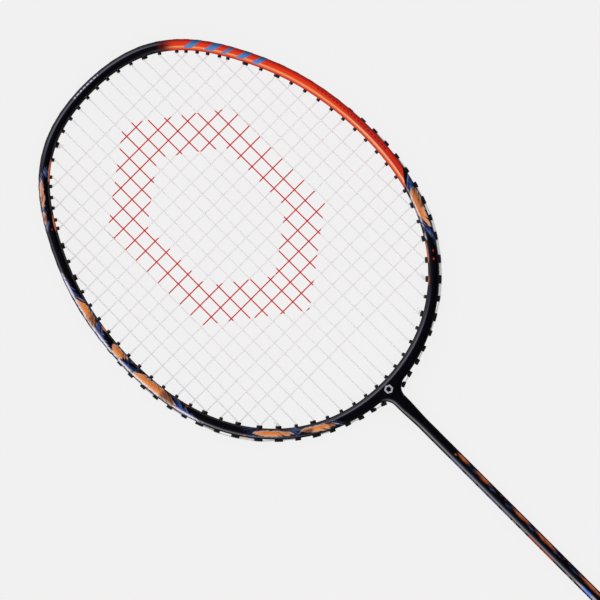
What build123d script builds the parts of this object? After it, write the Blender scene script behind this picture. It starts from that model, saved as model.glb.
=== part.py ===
from build123d import *
import math
import os

# Badminton racket, millimetres. The racket lies flat: +Y runs up the shaft to the head's tip,
# +X goes across the head, +Z is normal to the string bed. The origin is the middle of the
# butt's end face.

# ---- driving dimensions -------------------------------------------------------------------
FIT = 0.05  # clearance of a bonded or pushed fit
OVERRUN = 3.0  # how far a cut runs out into free space

# hoop
HEAD_CENTRE_Y = 549.14  # pole of the head's polar outline
# inner edge of the hoop, radius = sum of c_k cos(k (angle - 90 deg)), symmetric left and right
HEAD_HARMONICS = (
    108.412, -2.6424, 13.7839, 1.6707, 0.1332, 0.1218,
    -0.4246, -0.3532, -0.3231, -0.15, -0.0936,
)
OUTLINE_POINTS = 60  # spline points round the head
HOOP_WIDTH = 6.4  # in the plane of the strings, at the crown and sides
HOOP_WIDTH_THROAT = 8.1
WIDEN_FROM, WIDEN_SPAN = -55, 35  # degrees; the hoop widens below this angle
HOOP_DEPTH = 10.4  # across the plane of the strings
HOOP_ROUND = 2.9  # edge rounding of the hoop
HOOP_WALL = 1.1  # carbon wall
HOOP_WALL_OUTER = 1.0  # carbon left under the string groove
VOID_HALF = HOOP_DEPTH / 2 - HOOP_WALL  # half depth of the hollow inside the hoop
VOID_ROUND = 1.0
GROOVE_HALF = 1.75  # half width of the string groove
GROOVE_LOW = 0.45  # groove depth in the lower half of the head
GROOVE_CROWN = 1.75  # groove depth round the crown
DEEPEN_FROM, DEEPEN_SPAN = -12, 20  # degrees; the groove deepens above this angle

# neck
NECK_Y0 = 391.0  # where the moulded neck starts on the shaft
NECK_Y1 = 409.0  # where the neck reaches the hoop's full depth
NECK_HALF = 4.2  # half width of the neck at NECK_Y1
NECK_FILLET = 7.5  # plan fillet between the neck and the hoop
FILLET_SINK = 0.03  # how far the fillet dips into the hoop's outer edge
WING_R = 40.0  # past the fillet the neck's edge curves on into the hoop's wall
WING_LENGTH = 10

# shaft and T-joint
SHAFT_D = 7.1
SHAFT_BORE_D = 4.1
SPIGOT_D = 5.6  # stepped-down shaft end inside the neck
SPIGOT_TOP = 408.0
SOCKET_SPARE = 0.5  # socket length past the spigot
SHAFT_Y0 = 108.0  # lower end of the shaft, inside the handle
JOINT_GAP = 0.1  # between the T-joint and the hoop's hollow
JOINT_HALF = VOID_HALF - JOINT_GAP
JOINT_ROUND = 1.2
LEG_R = SHAFT_BORE_D / 2 - FIT  # leg of the T-joint
LEG_Y0, LEG_LENGTH = 396, 26

# strings
STRING_D = 0.68
LAYER_Z = 0.36  # main strings lie at +LAYER_Z, cross strings at -LAYER_Z
LANE = 0.72  # offset of each string in a shared bush
BEND = 0.75  # bend radius of a string at a bush

# bushes
BUSH_D = 2.2  # barrel of a bush
BUSH_BORE = 1.5
BORE_OVERRUN = 1
BEND_ROOM = 0.7  # extra length of the slot where the string bends
BUSH_TIP = 1.6  # barrel that stands inside the hoop
BUSH_SLOT = 3.6  # length of a wide bush's barrel
FLANGE_L = 3.6
FLANGE_L_WIDE = 5.0
FLANGE_SPARE = 0.3  # the flange's cut-out is longer than the flange by this
FLANGE_HALF = 1.6
FLANGE_H = 1.9
FLANGE_LIFT = 0.02  # gap between the flange and the groove's floor
FLANGE_BASE = 0.55  # flange left under the string channel
CHANNEL_HALF = LAYER_Z + STRING_D / 2 + 0.06

# handle
CORE_X, CORE_Z = 21.5, 19.5  # eight-sided handle core, across flats
CORE_Y0, CORE_Y1 = 2.5, 174.0
HOLLOW_Y0, HOLLOW_R = 14, 5.5  # hollow of the core below the shaft
HOLLOW_TO_SHAFT = 10
CONE_Y0, CONE_Y1 = CORE_Y1, 206.0
GRIP_X, GRIP_Z = 25.2, 23.0
GRIP_Y0, GRIP_Y1 = 3.0, 173.5
CAP_X, CAP_Z = 27.4, 25.4  # butt cap at its widest
BADGE_R, BADGE_THICKNESS = 7.9, 0.8
BADGE_RECESS = 0.9  # depth of the badge's recess
TAPE_Y0, TAPE_Y1 = 161.0, 173.0
STAPLE_Y = 34.0
STAPLE_LENGTH = 10.0  # along X
STAPLE_WIRE = 1.2  # along Y
STAPLE_LEG_X, STAPLE_LEG_WIDTH = 4.6, 0.8
STAPLE_SPARE = 0.3  # the staple's slot is wider than the staple by this

# where each bush meets the hoop's inner edge, right half, throat to crown: number: (x, y)
BUSH_XY = {
    1: (4.2, 426.4), 2: (12.5, 427.0), 3: (20.8, 428.6), 4: (29.3, 430.6), 5: (37.7, 434.0),
    6: (45.7, 438.2), 7: (54.3, 443.8), 8: (62.3, 450.8), 9: (70.1, 458.9), 10: (77.8, 469.1),
    11: (82.9, 478.4), 12: (86.9, 488.0), 13: (89.7, 497.1), 14: (91.9, 506.5), 15: (93.3, 516.0),
    16: (94.3, 525.2), 17: (94.8, 534.7), 18: (95.0, 543.7), 19: (94.2, 552.9), 20: (93.2, 561.9),
    21: (91.8, 571.3), 22: (90.1, 580.7), 23: (87.5, 589.6), 24: (84.1, 598.4), 25: (80.6, 608.0),
    26: (76.2, 616.7), 27: (71.5, 626.5), 28: (69.0, 631.1), 29: (64.9, 636.9), 30: (61.2, 642.0),
    31: (56.9, 647.1), 32: (53.1, 651.2), 33: (44.9, 657.5), 34: (36.6, 661.5), 35: (28.4, 665.1),
    36: (19.9, 666.8), 37: (12.1, 668.2), 38: (4.0, 668.8),
}
# bushes beside the neck are drilled at a slant: where they leave the hoop
BUSH_EXIT = {1: (8.1, 416.9), 2: (15.0, 418.7), 3: (23.3, 420.6)}
# wide bushes that hold a string's tail: number: lane of the long string, +1 towards the crown
TIE_OFF = {6: -1, 8: -1, 34: 1}
SHARED = (9, 10, 12, 24, 26)  # wide bushes that carry a long and a cross string
THROAT = (1, 2, 3, 4, 5, 7)
SIDE = (11, 13, 14, 15, 16, 17, 18, 19, 20, 21, 22, 23, 25)
CROWN = (27, 28, 29, 30, 31, 32, 33, 35, 36, 37, 38)
# bushes of the long strings, counted from the middle: lower end and upper end
MAIN_LOW = (1, 2, 3, 4, 5, 6, 7, 8, 9, 10, 12)
MAIN_TOP = (38, 37, 36, 35, 34, 33, 32, 30, 28, 26, 24)
# bushes of the cross strings, crown to throat
CROSS = (31, 29, 27, 26, 25, 24, 23, 22, 21, 20, 19, 18, 17, 16, 15, 14, 13, 12, 11, 10, 9)


def across(y):
    """Plane across the racket's axis at y, facing the head: its x along +X, its y along -Z."""
    return Plane(origin=(0, y, 0), x_dir=(1, 0, 0), z_dir=(0, 1, 0))


def across_down(y):
    """Plane across the racket's axis at y, facing the butt: its x along +X, its y along +Z."""
    return Plane(origin=(0, y, 0), x_dir=(1, 0, 0), z_dir=(0, -1, 0))


# ---- outline of the head ------------------------------------------------------------------
def fold(angle):
    """Angle round the head, folded onto the right half, in radians."""
    wrapped = math.atan2(math.sin(angle), math.cos(angle))
    if abs(wrapped) <= math.pi / 2:
        return wrapped
    return math.copysign(math.pi, wrapped) - wrapped


def blend(start, end, share):
    """From start to end with a smooth step, as share goes from 0 to 1."""
    share = min(1.0, max(0.0, share))
    return start + (end - start) * (share * share * (3 - 2 * share))


def inner_point(angle):
    radius = sum(c * math.cos(k * (angle - math.pi / 2)) for k, c in enumerate(HEAD_HARMONICS))
    return Vector(radius * math.cos(angle), HEAD_CENTRE_Y + radius * math.sin(angle))


def outward(angle):
    """Unit normal of the hoop's inner edge, away from the strings."""
    step = 1e-4
    chord = inner_point(angle + step) - inner_point(angle - step)
    return Vector(chord.Y, -chord.X).normalized()


def hoop_width(angle):
    share = (WIDEN_FROM - math.degrees(fold(angle))) / WIDEN_SPAN
    return blend(HOOP_WIDTH, HOOP_WIDTH_THROAT, share)


def groove_depth(angle):
    share = (math.degrees(fold(angle)) - DEEPEN_FROM) / DEEPEN_SPAN
    return blend(GROOVE_LOW, GROOVE_CROWN, share)


def groove_floor(angle):
    """Distance of the groove's floor from the hoop's inner edge."""
    return hoop_width(angle) - groove_depth(angle)


def offset_point(angle, distance):
    """A point at a distance outside the hoop's inner edge, along its normal."""
    return inner_point(angle) + outward(angle) * distance


def ring(distance_at):
    """Closed outline round the head at distance_at(angle) from the inner edge."""
    angles = [2 * math.pi * i / OUTLINE_POINTS for i in range(OUTLINE_POINTS)]
    return [offset_point(angle, distance_at(angle)) for angle in angles]


# ---- bushes: where each one sits ----------------------------------------------------------
class Seat:
    """A bush's place: base on the hoop's inner edge, floor on the groove's floor."""

    def __init__(self, number, side):
        x, y = BUSH_XY[number]
        angle = math.atan2(y - HEAD_CENTRE_Y, x)
        base = inner_point(angle)
        if number in BUSH_EXIT:
            leave = Vector(*BUSH_EXIT[number])
            out = (leave - base).normalized()
            reach = (leave - base).length
        else:
            out = outward(angle)
            reach = hoop_width(angle)
        self.number, self.side = number, side
        self.wide = number in TIE_OFF or number in SHARED
        self.flange = FLANGE_L_WIDE if self.wide else FLANGE_L
        self.reach = reach - groove_depth(angle)  # inner edge to the groove's floor
        flip = 1 if side == "R" else -1
        self.base = Vector(flip * base.X, base.Y)
        self.out = Vector(flip * out.X, out.Y)
        self.tangent = Vector(flip * -out.Y, out.X)  # towards the crown on both sides
        self.floor = self.base + self.out * self.reach

    def above(self, height, lane, z):
        """Point at a height above the groove's floor, outwards."""
        point = self.floor + self.out * height + self.tangent * lane
        return Vector(point.X, point.Y, z)

    def tip(self, lane, z, beyond=0.5):
        """Point beyond the barrel's end, inside the head."""
        point = self.base - self.out * (BUSH_TIP + beyond) + self.tangent * lane
        return Vector(point.X, point.Y, z)

    def plane(self):
        """Plane on the groove's floor, facing outwards, its x along the hoop."""
        return Plane(
            origin=Vector(self.floor.X, self.floor.Y, 0),
            x_dir=Vector(self.tangent.X, self.tangent.Y, 0),
            z_dir=Vector(self.out.X, self.out.Y, 0),
        )


SEATS = {(number, side): Seat(number, side) for number in BUSH_XY for side in "RL"}


def drilling(seat):
    """The hole through both walls for one bush, and the seat for its flange."""
    with BuildPart() as cutter:
        with BuildSketch(seat.plane().offset(-(seat.reach + OVERRUN))):
            if seat.wide:
                SlotOverall(BUSH_SLOT + 2 * FIT, BUSH_D + 2 * FIT)
            else:
                Circle(BUSH_D / 2 + FIT)
        extrude(amount=seat.reach + 2 * OVERRUN)
        with BuildSketch(seat.plane()):
            Rectangle(seat.flange + FLANGE_SPARE, 2 * GROOVE_HALF)
        extrude(amount=OVERRUN)
    return cutter.part


drillings = [drilling(seat) for seat in SEATS.values()]


# ---- plan of the neck's root --------------------------------------------------------------
def fillet_centre(angle):
    return offset_point(angle, hoop_width(angle) + NECK_FILLET - FILLET_SINK)


def find_touch():
    """Angle where the plan fillet touches the neck's side and the hoop's outer edge."""
    low, high = math.radians(-89.0), math.radians(-70.0)
    for _ in range(60):
        middle = (low + high) / 2
        if fillet_centre(middle).X < NECK_HALF + NECK_FILLET:
            low = middle
        else:
            high = middle
    return (low + high) / 2


touch = find_touch()
touch_out = outward(touch)
centre = fillet_centre(touch)
arc_start = Vector(NECK_HALF, centre.Y)
arc_end = centre - touch_out * NECK_FILLET
arc_middle = centre + (Vector(-1, 0) - touch_out).normalized() * NECK_FILLET
along_wing = Vector(-touch_out.Y, touch_out.X)


def wing(length):
    """Point at a length along the wing's arc, from the end of the fillet."""
    turn = length / WING_R
    inward_move = touch_out * (WING_R * (math.cos(turn) - 1))
    return arc_end + inward_move + along_wing * (WING_R * math.sin(turn))


def mirror_x(point):
    return Vector(-point.X, point.Y)


wing_middle = wing(WING_LENGTH / 2)
wing_end = wing(WING_LENGTH)
wing_angle = math.atan2(wing_end.Y - HEAD_CENTRE_Y, wing_end.X)
root_corner = offset_point(wing_angle, hoop_width(wing_angle) / 2)  # middle of the hoop's width
root_top = offset_point(-math.pi / 2, HOOP_WIDTH_THROAT / 2)

# ---- head frame: hoop and moulded neck ----------------------------------------------------
with BuildPart() as hoop_void:  # the hollow inside the hoop
    with BuildSketch(Plane.XY.offset(-VOID_HALF)):
        with BuildLine():
            Spline(*ring(lambda angle: groove_floor(angle) - HOOP_WALL_OUTER), periodic=True)
        make_face()
        with BuildLine():
            Spline(*ring(lambda angle: HOOP_WALL), periodic=True)
        make_face(mode=Mode.SUBTRACT)
    extrude(amount=2 * VOID_HALF)
    fillet(hoop_void.faces().filter_by(Axis.Z).edges(), radius=VOID_ROUND)

with BuildPart() as groove_cut:  # string groove round the outside, open at the neck
    with BuildSketch(Plane.XY.offset(-GROOVE_HALF)):
        with BuildLine():
            Spline(*ring(lambda angle: hoop_width(angle) + 5), periodic=True)
        make_face()
        with BuildLine():
            Spline(*ring(groove_floor), periodic=True)
        make_face(mode=Mode.SUBTRACT)
        with Locations((0, 410)):  # the neck stays whole
            Rectangle(20, 40, mode=Mode.SUBTRACT)
    extrude(amount=2 * GROOVE_HALF)

with BuildPart() as neck_root:  # the neck where it spreads into the hoop
    with BuildSketch(Plane.XY.offset(-HOOP_DEPTH / 2)):
        with BuildLine():
            Line((-NECK_HALF, NECK_Y1), (NECK_HALF, NECK_Y1))
            Line((NECK_HALF, NECK_Y1), arc_start)
            ThreePointArc(arc_start, arc_middle, arc_end)
            ThreePointArc(arc_end, wing_middle, wing_end)
            Line(wing_end, root_corner)
            ThreePointArc(root_corner, root_top, mirror_x(root_corner))
            Line(mirror_x(root_corner), mirror_x(wing_end))
            ThreePointArc(mirror_x(wing_end), mirror_x(wing_middle), mirror_x(arc_end))
            ThreePointArc(mirror_x(arc_end), mirror_x(arc_middle), mirror_x(arc_start))
            Line(mirror_x(arc_start), (-NECK_HALF, NECK_Y1))
        make_face()
    extrude(amount=HOOP_DEPTH)
    # all edges of both flat faces but those centred on the axis and the ends inside the hoop
    flat_edges = neck_root.faces().filter_by(Axis.Z).edges()
    side_edges = flat_edges.filter_by(lambda edge: 1 < abs(edge.center().X) < 18)
    fillet(side_edges, radius=HOOP_ROUND)

with BuildPart() as head_frame:
    with BuildSketch(Plane.XY.offset(-HOOP_DEPTH / 2)):
        with BuildLine():
            Spline(*ring(hoop_width), periodic=True)
        make_face()
        with BuildLine():
            Spline(*ring(lambda angle: 0.0), periodic=True)
        make_face(mode=Mode.SUBTRACT)
    extrude(amount=HOOP_DEPTH)
    fillet(head_frame.faces().filter_by(Axis.Z).edges(), radius=HOOP_ROUND)
    add(neck_root.part)
    # the neck tapers from the hoop's depth to the round shaft
    with BuildSketch(across_down(NECK_Y1)):
        RectangleRounded(2 * NECK_HALF, HOOP_DEPTH, HOOP_ROUND)
    with BuildSketch(across_down(NECK_Y0)):
        Circle(SHAFT_D / 2)
    loft()
    add(hoop_void.part, mode=Mode.SUBTRACT)
    add(groove_cut.part, mode=Mode.SUBTRACT)
    # socket for the shaft, then the narrower way for the leg of the T-joint
    with BuildSketch(across(NECK_Y0 - 1)):
        Circle(SPIGOT_D / 2 + FIT)
    extrude(amount=SPIGOT_TOP + SOCKET_SPARE - NECK_Y0 + 1, mode=Mode.SUBTRACT)
    with BuildSketch(across(SPIGOT_TOP)):
        Circle(LEG_R + FIT)
    extrude(amount=15, mode=Mode.SUBTRACT)
    add(drillings, mode=Mode.SUBTRACT)

# ---- T-joint: ties the hoop to the shaft, hidden inside ------------------------------------
with BuildPart() as t_joint:
    with BuildSketch(Plane.XY.offset(-JOINT_HALF)):
        with BuildLine():
            Spline(
                *ring(lambda angle: groove_floor(angle) - HOOP_WALL_OUTER - JOINT_GAP),
                periodic=True,
            )
        make_face()
        with BuildLine():
            Spline(*ring(lambda angle: HOOP_WALL + JOINT_GAP), periodic=True)
        make_face(mode=Mode.SUBTRACT)
        with Locations((0, 425)):  # only the piece at the throat
            Rectangle(50, 40, mode=Mode.INTERSECT)
    extrude(amount=2 * JOINT_HALF)
    # the long edges of both flat faces
    long_edges = t_joint.edges().filter_by(
        lambda edge: abs(abs(edge.center().Z) - JOINT_HALF) < 0.01 and edge.length > 20
    )
    fillet(long_edges, radius=JOINT_ROUND)
    with BuildSketch(across(LEG_Y0)):
        Circle(LEG_R)
    extrude(amount=LEG_LENGTH)
    add(drillings, mode=Mode.SUBTRACT)

# ---- shaft --------------------------------------------------------------------------------
with BuildPart() as shaft:
    with BuildSketch(across(SHAFT_Y0)):
        Circle(SHAFT_D / 2)
        Circle(SHAFT_BORE_D / 2, mode=Mode.SUBTRACT)
    extrude(amount=NECK_Y0 - FIT - SHAFT_Y0)
    with BuildSketch(across(NECK_Y0 - FIT)):
        Circle(SPIGOT_D / 2)
        Circle(SHAFT_BORE_D / 2, mode=Mode.SUBTRACT)
    extrude(amount=SPIGOT_TOP - NECK_Y0)


# ---- bushes -------------------------------------------------------------------------------
def bush(seat):
    """One bush in place: barrel through the hoop's wall, flange with a string channel outside."""
    extra = BUSH_SLOT - BUSH_D if seat.wide else 0.0
    barrel = seat.reach + BUSH_TIP  # below the groove's floor
    place = seat.plane()
    with BuildPart() as piece:
        with BuildSketch(place.offset(FLANGE_LIFT)):
            RectangleRounded(seat.flange, 2 * FLANGE_HALF, 0.5)
        extrude(amount=FLANGE_H - FLANGE_LIFT)
        outer_face = piece.faces().sort_by(Axis(place.origin, place.z_dir))[-1]
        fillet(outer_face.edges(), radius=0.3)
        with BuildSketch(place.offset(-barrel)):
            if seat.wide:
                SlotOverall(BUSH_SLOT, BUSH_D)
            else:
                Circle(BUSH_D / 2)
        extrude(amount=barrel + 0.3)
        # string channel along the flange, between two rims
        with BuildSketch(place.offset(FLANGE_BASE)):
            Rectangle(seat.flange + 2, 2 * CHANNEL_HALF)
        extrude(amount=OVERRUN, mode=Mode.SUBTRACT)
        # room for the string's bend, then the bore
        with BuildSketch(place.offset(-0.3)):
            SlotOverall(BUSH_BORE + extra + BEND_ROOM, BUSH_BORE)
        extrude(amount=2, mode=Mode.SUBTRACT)
        with BuildSketch(place.offset(-(barrel + BORE_OVERRUN))):
            if seat.wide:
                SlotOverall(extra + BUSH_BORE, BUSH_BORE)
            else:
                Circle(BUSH_BORE / 2)
        extrude(amount=barrel + 2 * BORE_OVERRUN, mode=Mode.SUBTRACT)
    return piece.part


def bush_set(numbers):
    """The bushes with these numbers on both sides, as one piece."""
    bushes = [bush(SEATS[(number, side)]) for number in numbers for side in "RL"]
    with BuildPart() as grommets:
        add(bushes)
    return grommets


crown_grommets = bush_set(CROWN)
side_grommets = bush_set(SIDE)
throat_grommets = bush_set(THROAT)
shared_grommets = bush_set(SHARED)
tie_off_grommets = bush_set(TIE_OFF)

# ---- strings ------------------------------------------------------------------------------
# heights of a string's centre above the groove's floor
IN_CHANNEL = FLANGE_BASE + STRING_D / 2 + 0.13  # lying in the flange channel
OVER_STRING = IN_CHANNEL + STRING_D + 0.2  # crossing over another string


def lane_of(seat, kind):
    """Which side of a wide bush a string takes: 'main', 'cross' or 'tail'."""
    if not seat.wide:
        return 0.0
    if seat.number in TIE_OFF:
        towards = TIE_OFF[seat.number]
        return LANE * (towards if kind == "main" else -towards)
    if kind == "main":
        run = Vector(0, 1 if seat.base.Y < HEAD_CENTRE_Y else -1)
    else:
        run = Vector(-1 if seat.side == "R" else 1, 0)
    return LANE if run.X * seat.tangent.X + run.Y * seat.tangent.Y > 0 else -LANE


def through(seat, kind, z, inwards):
    """Two points that take a string through a bush."""
    lane = lane_of(seat, kind)
    points = [seat.above(IN_CHANNEL, lane, z), seat.tip(lane, z)]
    return points if inwards else points[::-1]


def over(numbers, side, z, level=IN_CHANNEL):
    """Points that take a string along the groove, past other bushes."""
    return [SEATS[(number, side)].above(level, 0.0, z) for number in numbers]


def long_strings(side):
    """Points of one half of the long strings, from the outermost to the middle."""
    points = []
    for i in range(len(MAIN_LOW) - 1, -1, -1):
        low_end, top_end = SEATS[(MAIN_LOW[i], side)], SEATS[(MAIN_TOP[i], side)]
        upwards = i % 2 == 0
        first, last = (low_end, top_end) if upwards else (top_end, low_end)
        points += through(first, "main", LAYER_Z, True) + through(last, "main", LAYER_Z, False)
        if upwards and i > 0:
            points += over(range(MAIN_TOP[i] + 1, MAIN_TOP[i - 1]), side, LAYER_Z)
    return points


def cross_strings():
    """Points of the cross strings, to and fro from the crown to the throat."""
    points = []
    for i, number in enumerate(CROSS):
        first, last = ("L", "R") if i % 2 == 0 else ("R", "L")
        points += through(SEATS[(number, first)], "cross", -LAYER_Z, True)
        points += through(SEATS[(number, last)], "cross", -LAYER_Z, False)
        if i + 1 < len(CROSS):
            points += over(range(number - 1, CROSS[i + 1], -1), last, -LAYER_Z)
    return points


def knot_plane(seat, z):
    """Plane on the bush's tip, its normal along the tail of the string."""
    return Plane(
        origin=seat.tip(lane_of(seat, "tail"), z, 0.2),
        z_dir=Vector(-seat.out.X, -seat.out.Y, 0),
    )


def string(path, z, tails, knot_radius, knot_length):
    """A string swept along its path, with a knot at each tail's bush."""
    with BuildPart() as piece:
        with BuildLine() as route:
            FilletPolyline(*path, radius=BEND)
        with BuildSketch(Plane(origin=route.line @ 0, z_dir=route.line % 0)):
            Circle(STRING_D / 2)
        sweep(path=route.line)
        for seat in tails:
            with BuildSketch(knot_plane(seat, z)):
                Circle(knot_radius)
            extrude(amount=knot_length)
    return piece


main_tails = (SEATS[(6, "R")], SEATS[(8, "L")])
main_path = through(main_tails[0], "tail", LAYER_Z, False)
main_path += over(range(7, 12), "R", LAYER_Z, OVER_STRING)
main_path += long_strings("R")
main_path += long_strings("L")[::-1]
main_path += over(range(11, 8, -1), "L", LAYER_Z, OVER_STRING)
main_path += through(main_tails[1], "tail", LAYER_Z, True)
main_string = string(main_path, LAYER_Z, main_tails, knot_radius=0.75, knot_length=1.3)

cross_tails = (SEATS[(34, "L")], SEATS[(8, "R")])
cross_path = through(cross_tails[0], "tail", -LAYER_Z, False)
cross_path += over((33, 32), "L", -LAYER_Z)
cross_path += cross_strings()
cross_path += through(cross_tails[1], "tail", -LAYER_Z, True)
cross_string = string(cross_path, -LAYER_Z, cross_tails, knot_radius=0.7, knot_length=1.2)


# ---- handle -------------------------------------------------------------------------------
def octagon(width, depth, grow=0.0):
    """Corners of the eight-sided handle section, cut at 45 degrees; grow adds to both sizes."""
    width, depth = width + grow, depth + grow
    cut = 0.2929 * min(width, depth)
    x, y = width / 2, depth / 2
    return [
        (x, y - cut), (x - cut, y), (-x + cut, y), (-x, y - cut),
        (-x, -y + cut), (-x + cut, -y), (x - cut, -y), (x, -y + cut),
    ]


def staple(spare, bar_drop, bar_height, leg_drop, leg_height):
    """Bar and two legs; the drops are from the core's +Z flat down to their undersides."""
    with BuildPart() as piece:
        with BuildSketch(Plane.XY.offset(CORE_Z / 2 - bar_drop)):
            with Locations((0, STAPLE_Y)):
                Rectangle(STAPLE_LENGTH + spare, STAPLE_WIRE + spare)
        extrude(amount=bar_height)
        with BuildSketch(Plane.XY.offset(CORE_Z / 2 - leg_drop)):
            with Locations((-STAPLE_LEG_X, STAPLE_Y), (STAPLE_LEG_X, STAPLE_Y)):
                Rectangle(STAPLE_LEG_WIDTH + spare, STAPLE_WIRE + spare)
        extrude(amount=leg_height)
    return piece


staple_space = staple(STAPLE_SPARE, bar_drop=0.7, bar_height=2, leg_drop=6.2, leg_height=6)
grip_staple = staple(0.0, bar_drop=0.65, bar_height=0.6, leg_drop=6.0, leg_height=5.5)

# round sections: (y, radius)
NOSE = ((CORE_Y1, 9.0), (CONE_Y1 - 6, 4.9))
CONE_OUTSIDE = (
    (CONE_Y0 + 0.1, 11.0),
    (CONE_Y0 + 8, 10.2),
    (CONE_Y0 + 20, 7.4),
    (CONE_Y1, 5.2),
)
CONE_INSIDE = ((CONE_Y0, 9.1), (CONE_Y1 - 5.5, 5.1))

with BuildPart() as handle_core:
    with BuildSketch(across(CORE_Y0)):
        Polygon(*octagon(CORE_X, CORE_Z), align=None)
    extrude(amount=CORE_Y1 - CORE_Y0)
    # tapered nose under the cone cap
    for y, radius in NOSE:
        with BuildSketch(across(y)):
            Circle(radius)
    loft()
    # bore for the shaft, wider hollow below it
    with BuildSketch(across(SHAFT_Y0 - 0.5)):
        Circle(SHAFT_D / 2 + FIT)
    extrude(amount=120, mode=Mode.SUBTRACT)
    with BuildSketch(across(HOLLOW_Y0)):
        Circle(HOLLOW_R)
    extrude(amount=SHAFT_Y0 - HOLLOW_TO_SHAFT - HOLLOW_Y0, mode=Mode.SUBTRACT)
    add(staple_space.part, mode=Mode.SUBTRACT)

with BuildPart() as cone_cap:
    for y, radius in CONE_OUTSIDE:
        with BuildSketch(across(y)):
            Circle(radius)
    loft()
    for y, radius in CONE_INSIDE:
        with BuildSketch(across(y)):
            Circle(radius)
    loft(mode=Mode.SUBTRACT)
    with BuildSketch(across(CONE_Y0)):
        Circle(SHAFT_D / 2 + FIT)
    extrude(amount=40, mode=Mode.SUBTRACT)
    # the outer rim at the top; the bore's rim is shorter
    top_rim = cone_cap.edges().filter_by(
        lambda edge: abs(edge.center().Y - CONE_Y1) < 0.01 and edge.length > 28
    )
    fillet(top_rim, radius=0.8)

# eight-sided sections: (y, width, depth, grow)
CAP_CHAMFER = ((0, CAP_X, CAP_Z, -1.0), (2.2, CAP_X, CAP_Z, 0.0))
CAP_BODY = (
    (2.2, CAP_X, CAP_Z, 0.0),
    (8, CAP_X, CAP_Z, -0.4),
    (24, CORE_X, CORE_Z, 0.8),
)
GRIP_OUTSIDE = (
    (GRIP_Y0, CAP_X, CAP_Z, 3.0),
    (8.5, CAP_X, CAP_Z, 3.0),
    (26, GRIP_X, GRIP_Z, 0.5),
    (GRIP_Y1, GRIP_X, GRIP_Z, 0.0),
)
GRIP_OVER_CAP = (
    (GRIP_Y0 - 1, CAP_X, CAP_Z, 0.1),
    (8.2, CAP_X, CAP_Z, -0.3),
    (24.5, CORE_X, CORE_Z, 0.95),
)

with BuildPart() as cap_outer:
    for sections in (CAP_CHAMFER, CAP_BODY):
        for y, width, depth, grow in sections:
            with BuildSketch(across(y)):
                Polygon(*octagon(width, depth, grow), align=None)
        loft(ruled=True)

with BuildPart() as butt_cap:
    add(cap_outer.part)
    with BuildSketch(across(CORE_Y0 - FIT)):
        Polygon(*octagon(CORE_X, CORE_Z, 2 * FIT), align=None)
    extrude(amount=40, mode=Mode.SUBTRACT)
    # recess for the badge
    with BuildSketch(across(-1)):
        Circle(BADGE_R + 0.1)
    extrude(amount=1 + BADGE_RECESS, mode=Mode.SUBTRACT)

with BuildPart() as butt_badge:
    with BuildSketch(across(0.05)):
        Circle(BADGE_R)
    extrude(amount=BADGE_THICKNESS)
    fillet(butt_badge.faces().sort_by(Axis.Y)[0].edges(), radius=0.25)

with BuildPart() as grip_tape:
    for y, width, depth, grow in GRIP_OUTSIDE:
        with BuildSketch(across(y)):
            Polygon(*octagon(width, depth, grow), align=None)
    loft(ruled=True)
    # room for the butt cap, then for the core
    for y, width, depth, grow in GRIP_OVER_CAP:
        with BuildSketch(across(y)):
            Polygon(*octagon(width, depth, grow), align=None)
    loft(ruled=True, mode=Mode.SUBTRACT)
    with BuildSketch(across(24)):
        Polygon(*octagon(CORE_X, CORE_Z, 0.12), align=None)
    extrude(amount=160, mode=Mode.SUBTRACT)

with BuildPart() as finishing_tape:
    with BuildSketch(across(TAPE_Y0)):
        Polygon(*octagon(GRIP_X, GRIP_Z, 0.8), align=None)
        Polygon(*octagon(GRIP_X, GRIP_Z, 0.2), align=None, mode=Mode.SUBTRACT)
    extrude(amount=TAPE_Y1 - TAPE_Y0)

# ---- one file per piece -------------------------------------------------------------------
PIECES = {
    "head_frame": head_frame,
    "t_joint": t_joint,
    "shaft": shaft,
    "crown_grommets": crown_grommets,
    "side_grommets": side_grommets,
    "throat_grommets": throat_grommets,
    "shared_grommets": shared_grommets,
    "tie_off_grommets": tie_off_grommets,
    "main_string": main_string,
    "cross_string": cross_string,
    "handle_core": handle_core,
    "grip_staple": grip_staple,
    "cone_cap": cone_cap,
    "butt_cap": butt_cap,
    "butt_badge": butt_badge,
    "grip_tape": grip_tape,
    "finishing_tape": finishing_tape,
}

os.makedirs("parts", exist_ok=True)
for name, piece in PIECES.items():
    piece.part.label = name
    export_step(piece.part, f"parts/{name}.step")
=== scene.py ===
"""A badminton racket, strung, lying flat: X runs across it, Y from the butt (0) to the crown,
and Z square to the strings, with Z = 0 in the middle of the string bed.
Dimensions are millimetres and turn into metres when a mesh is made."""

import math
from types import SimpleNamespace

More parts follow.
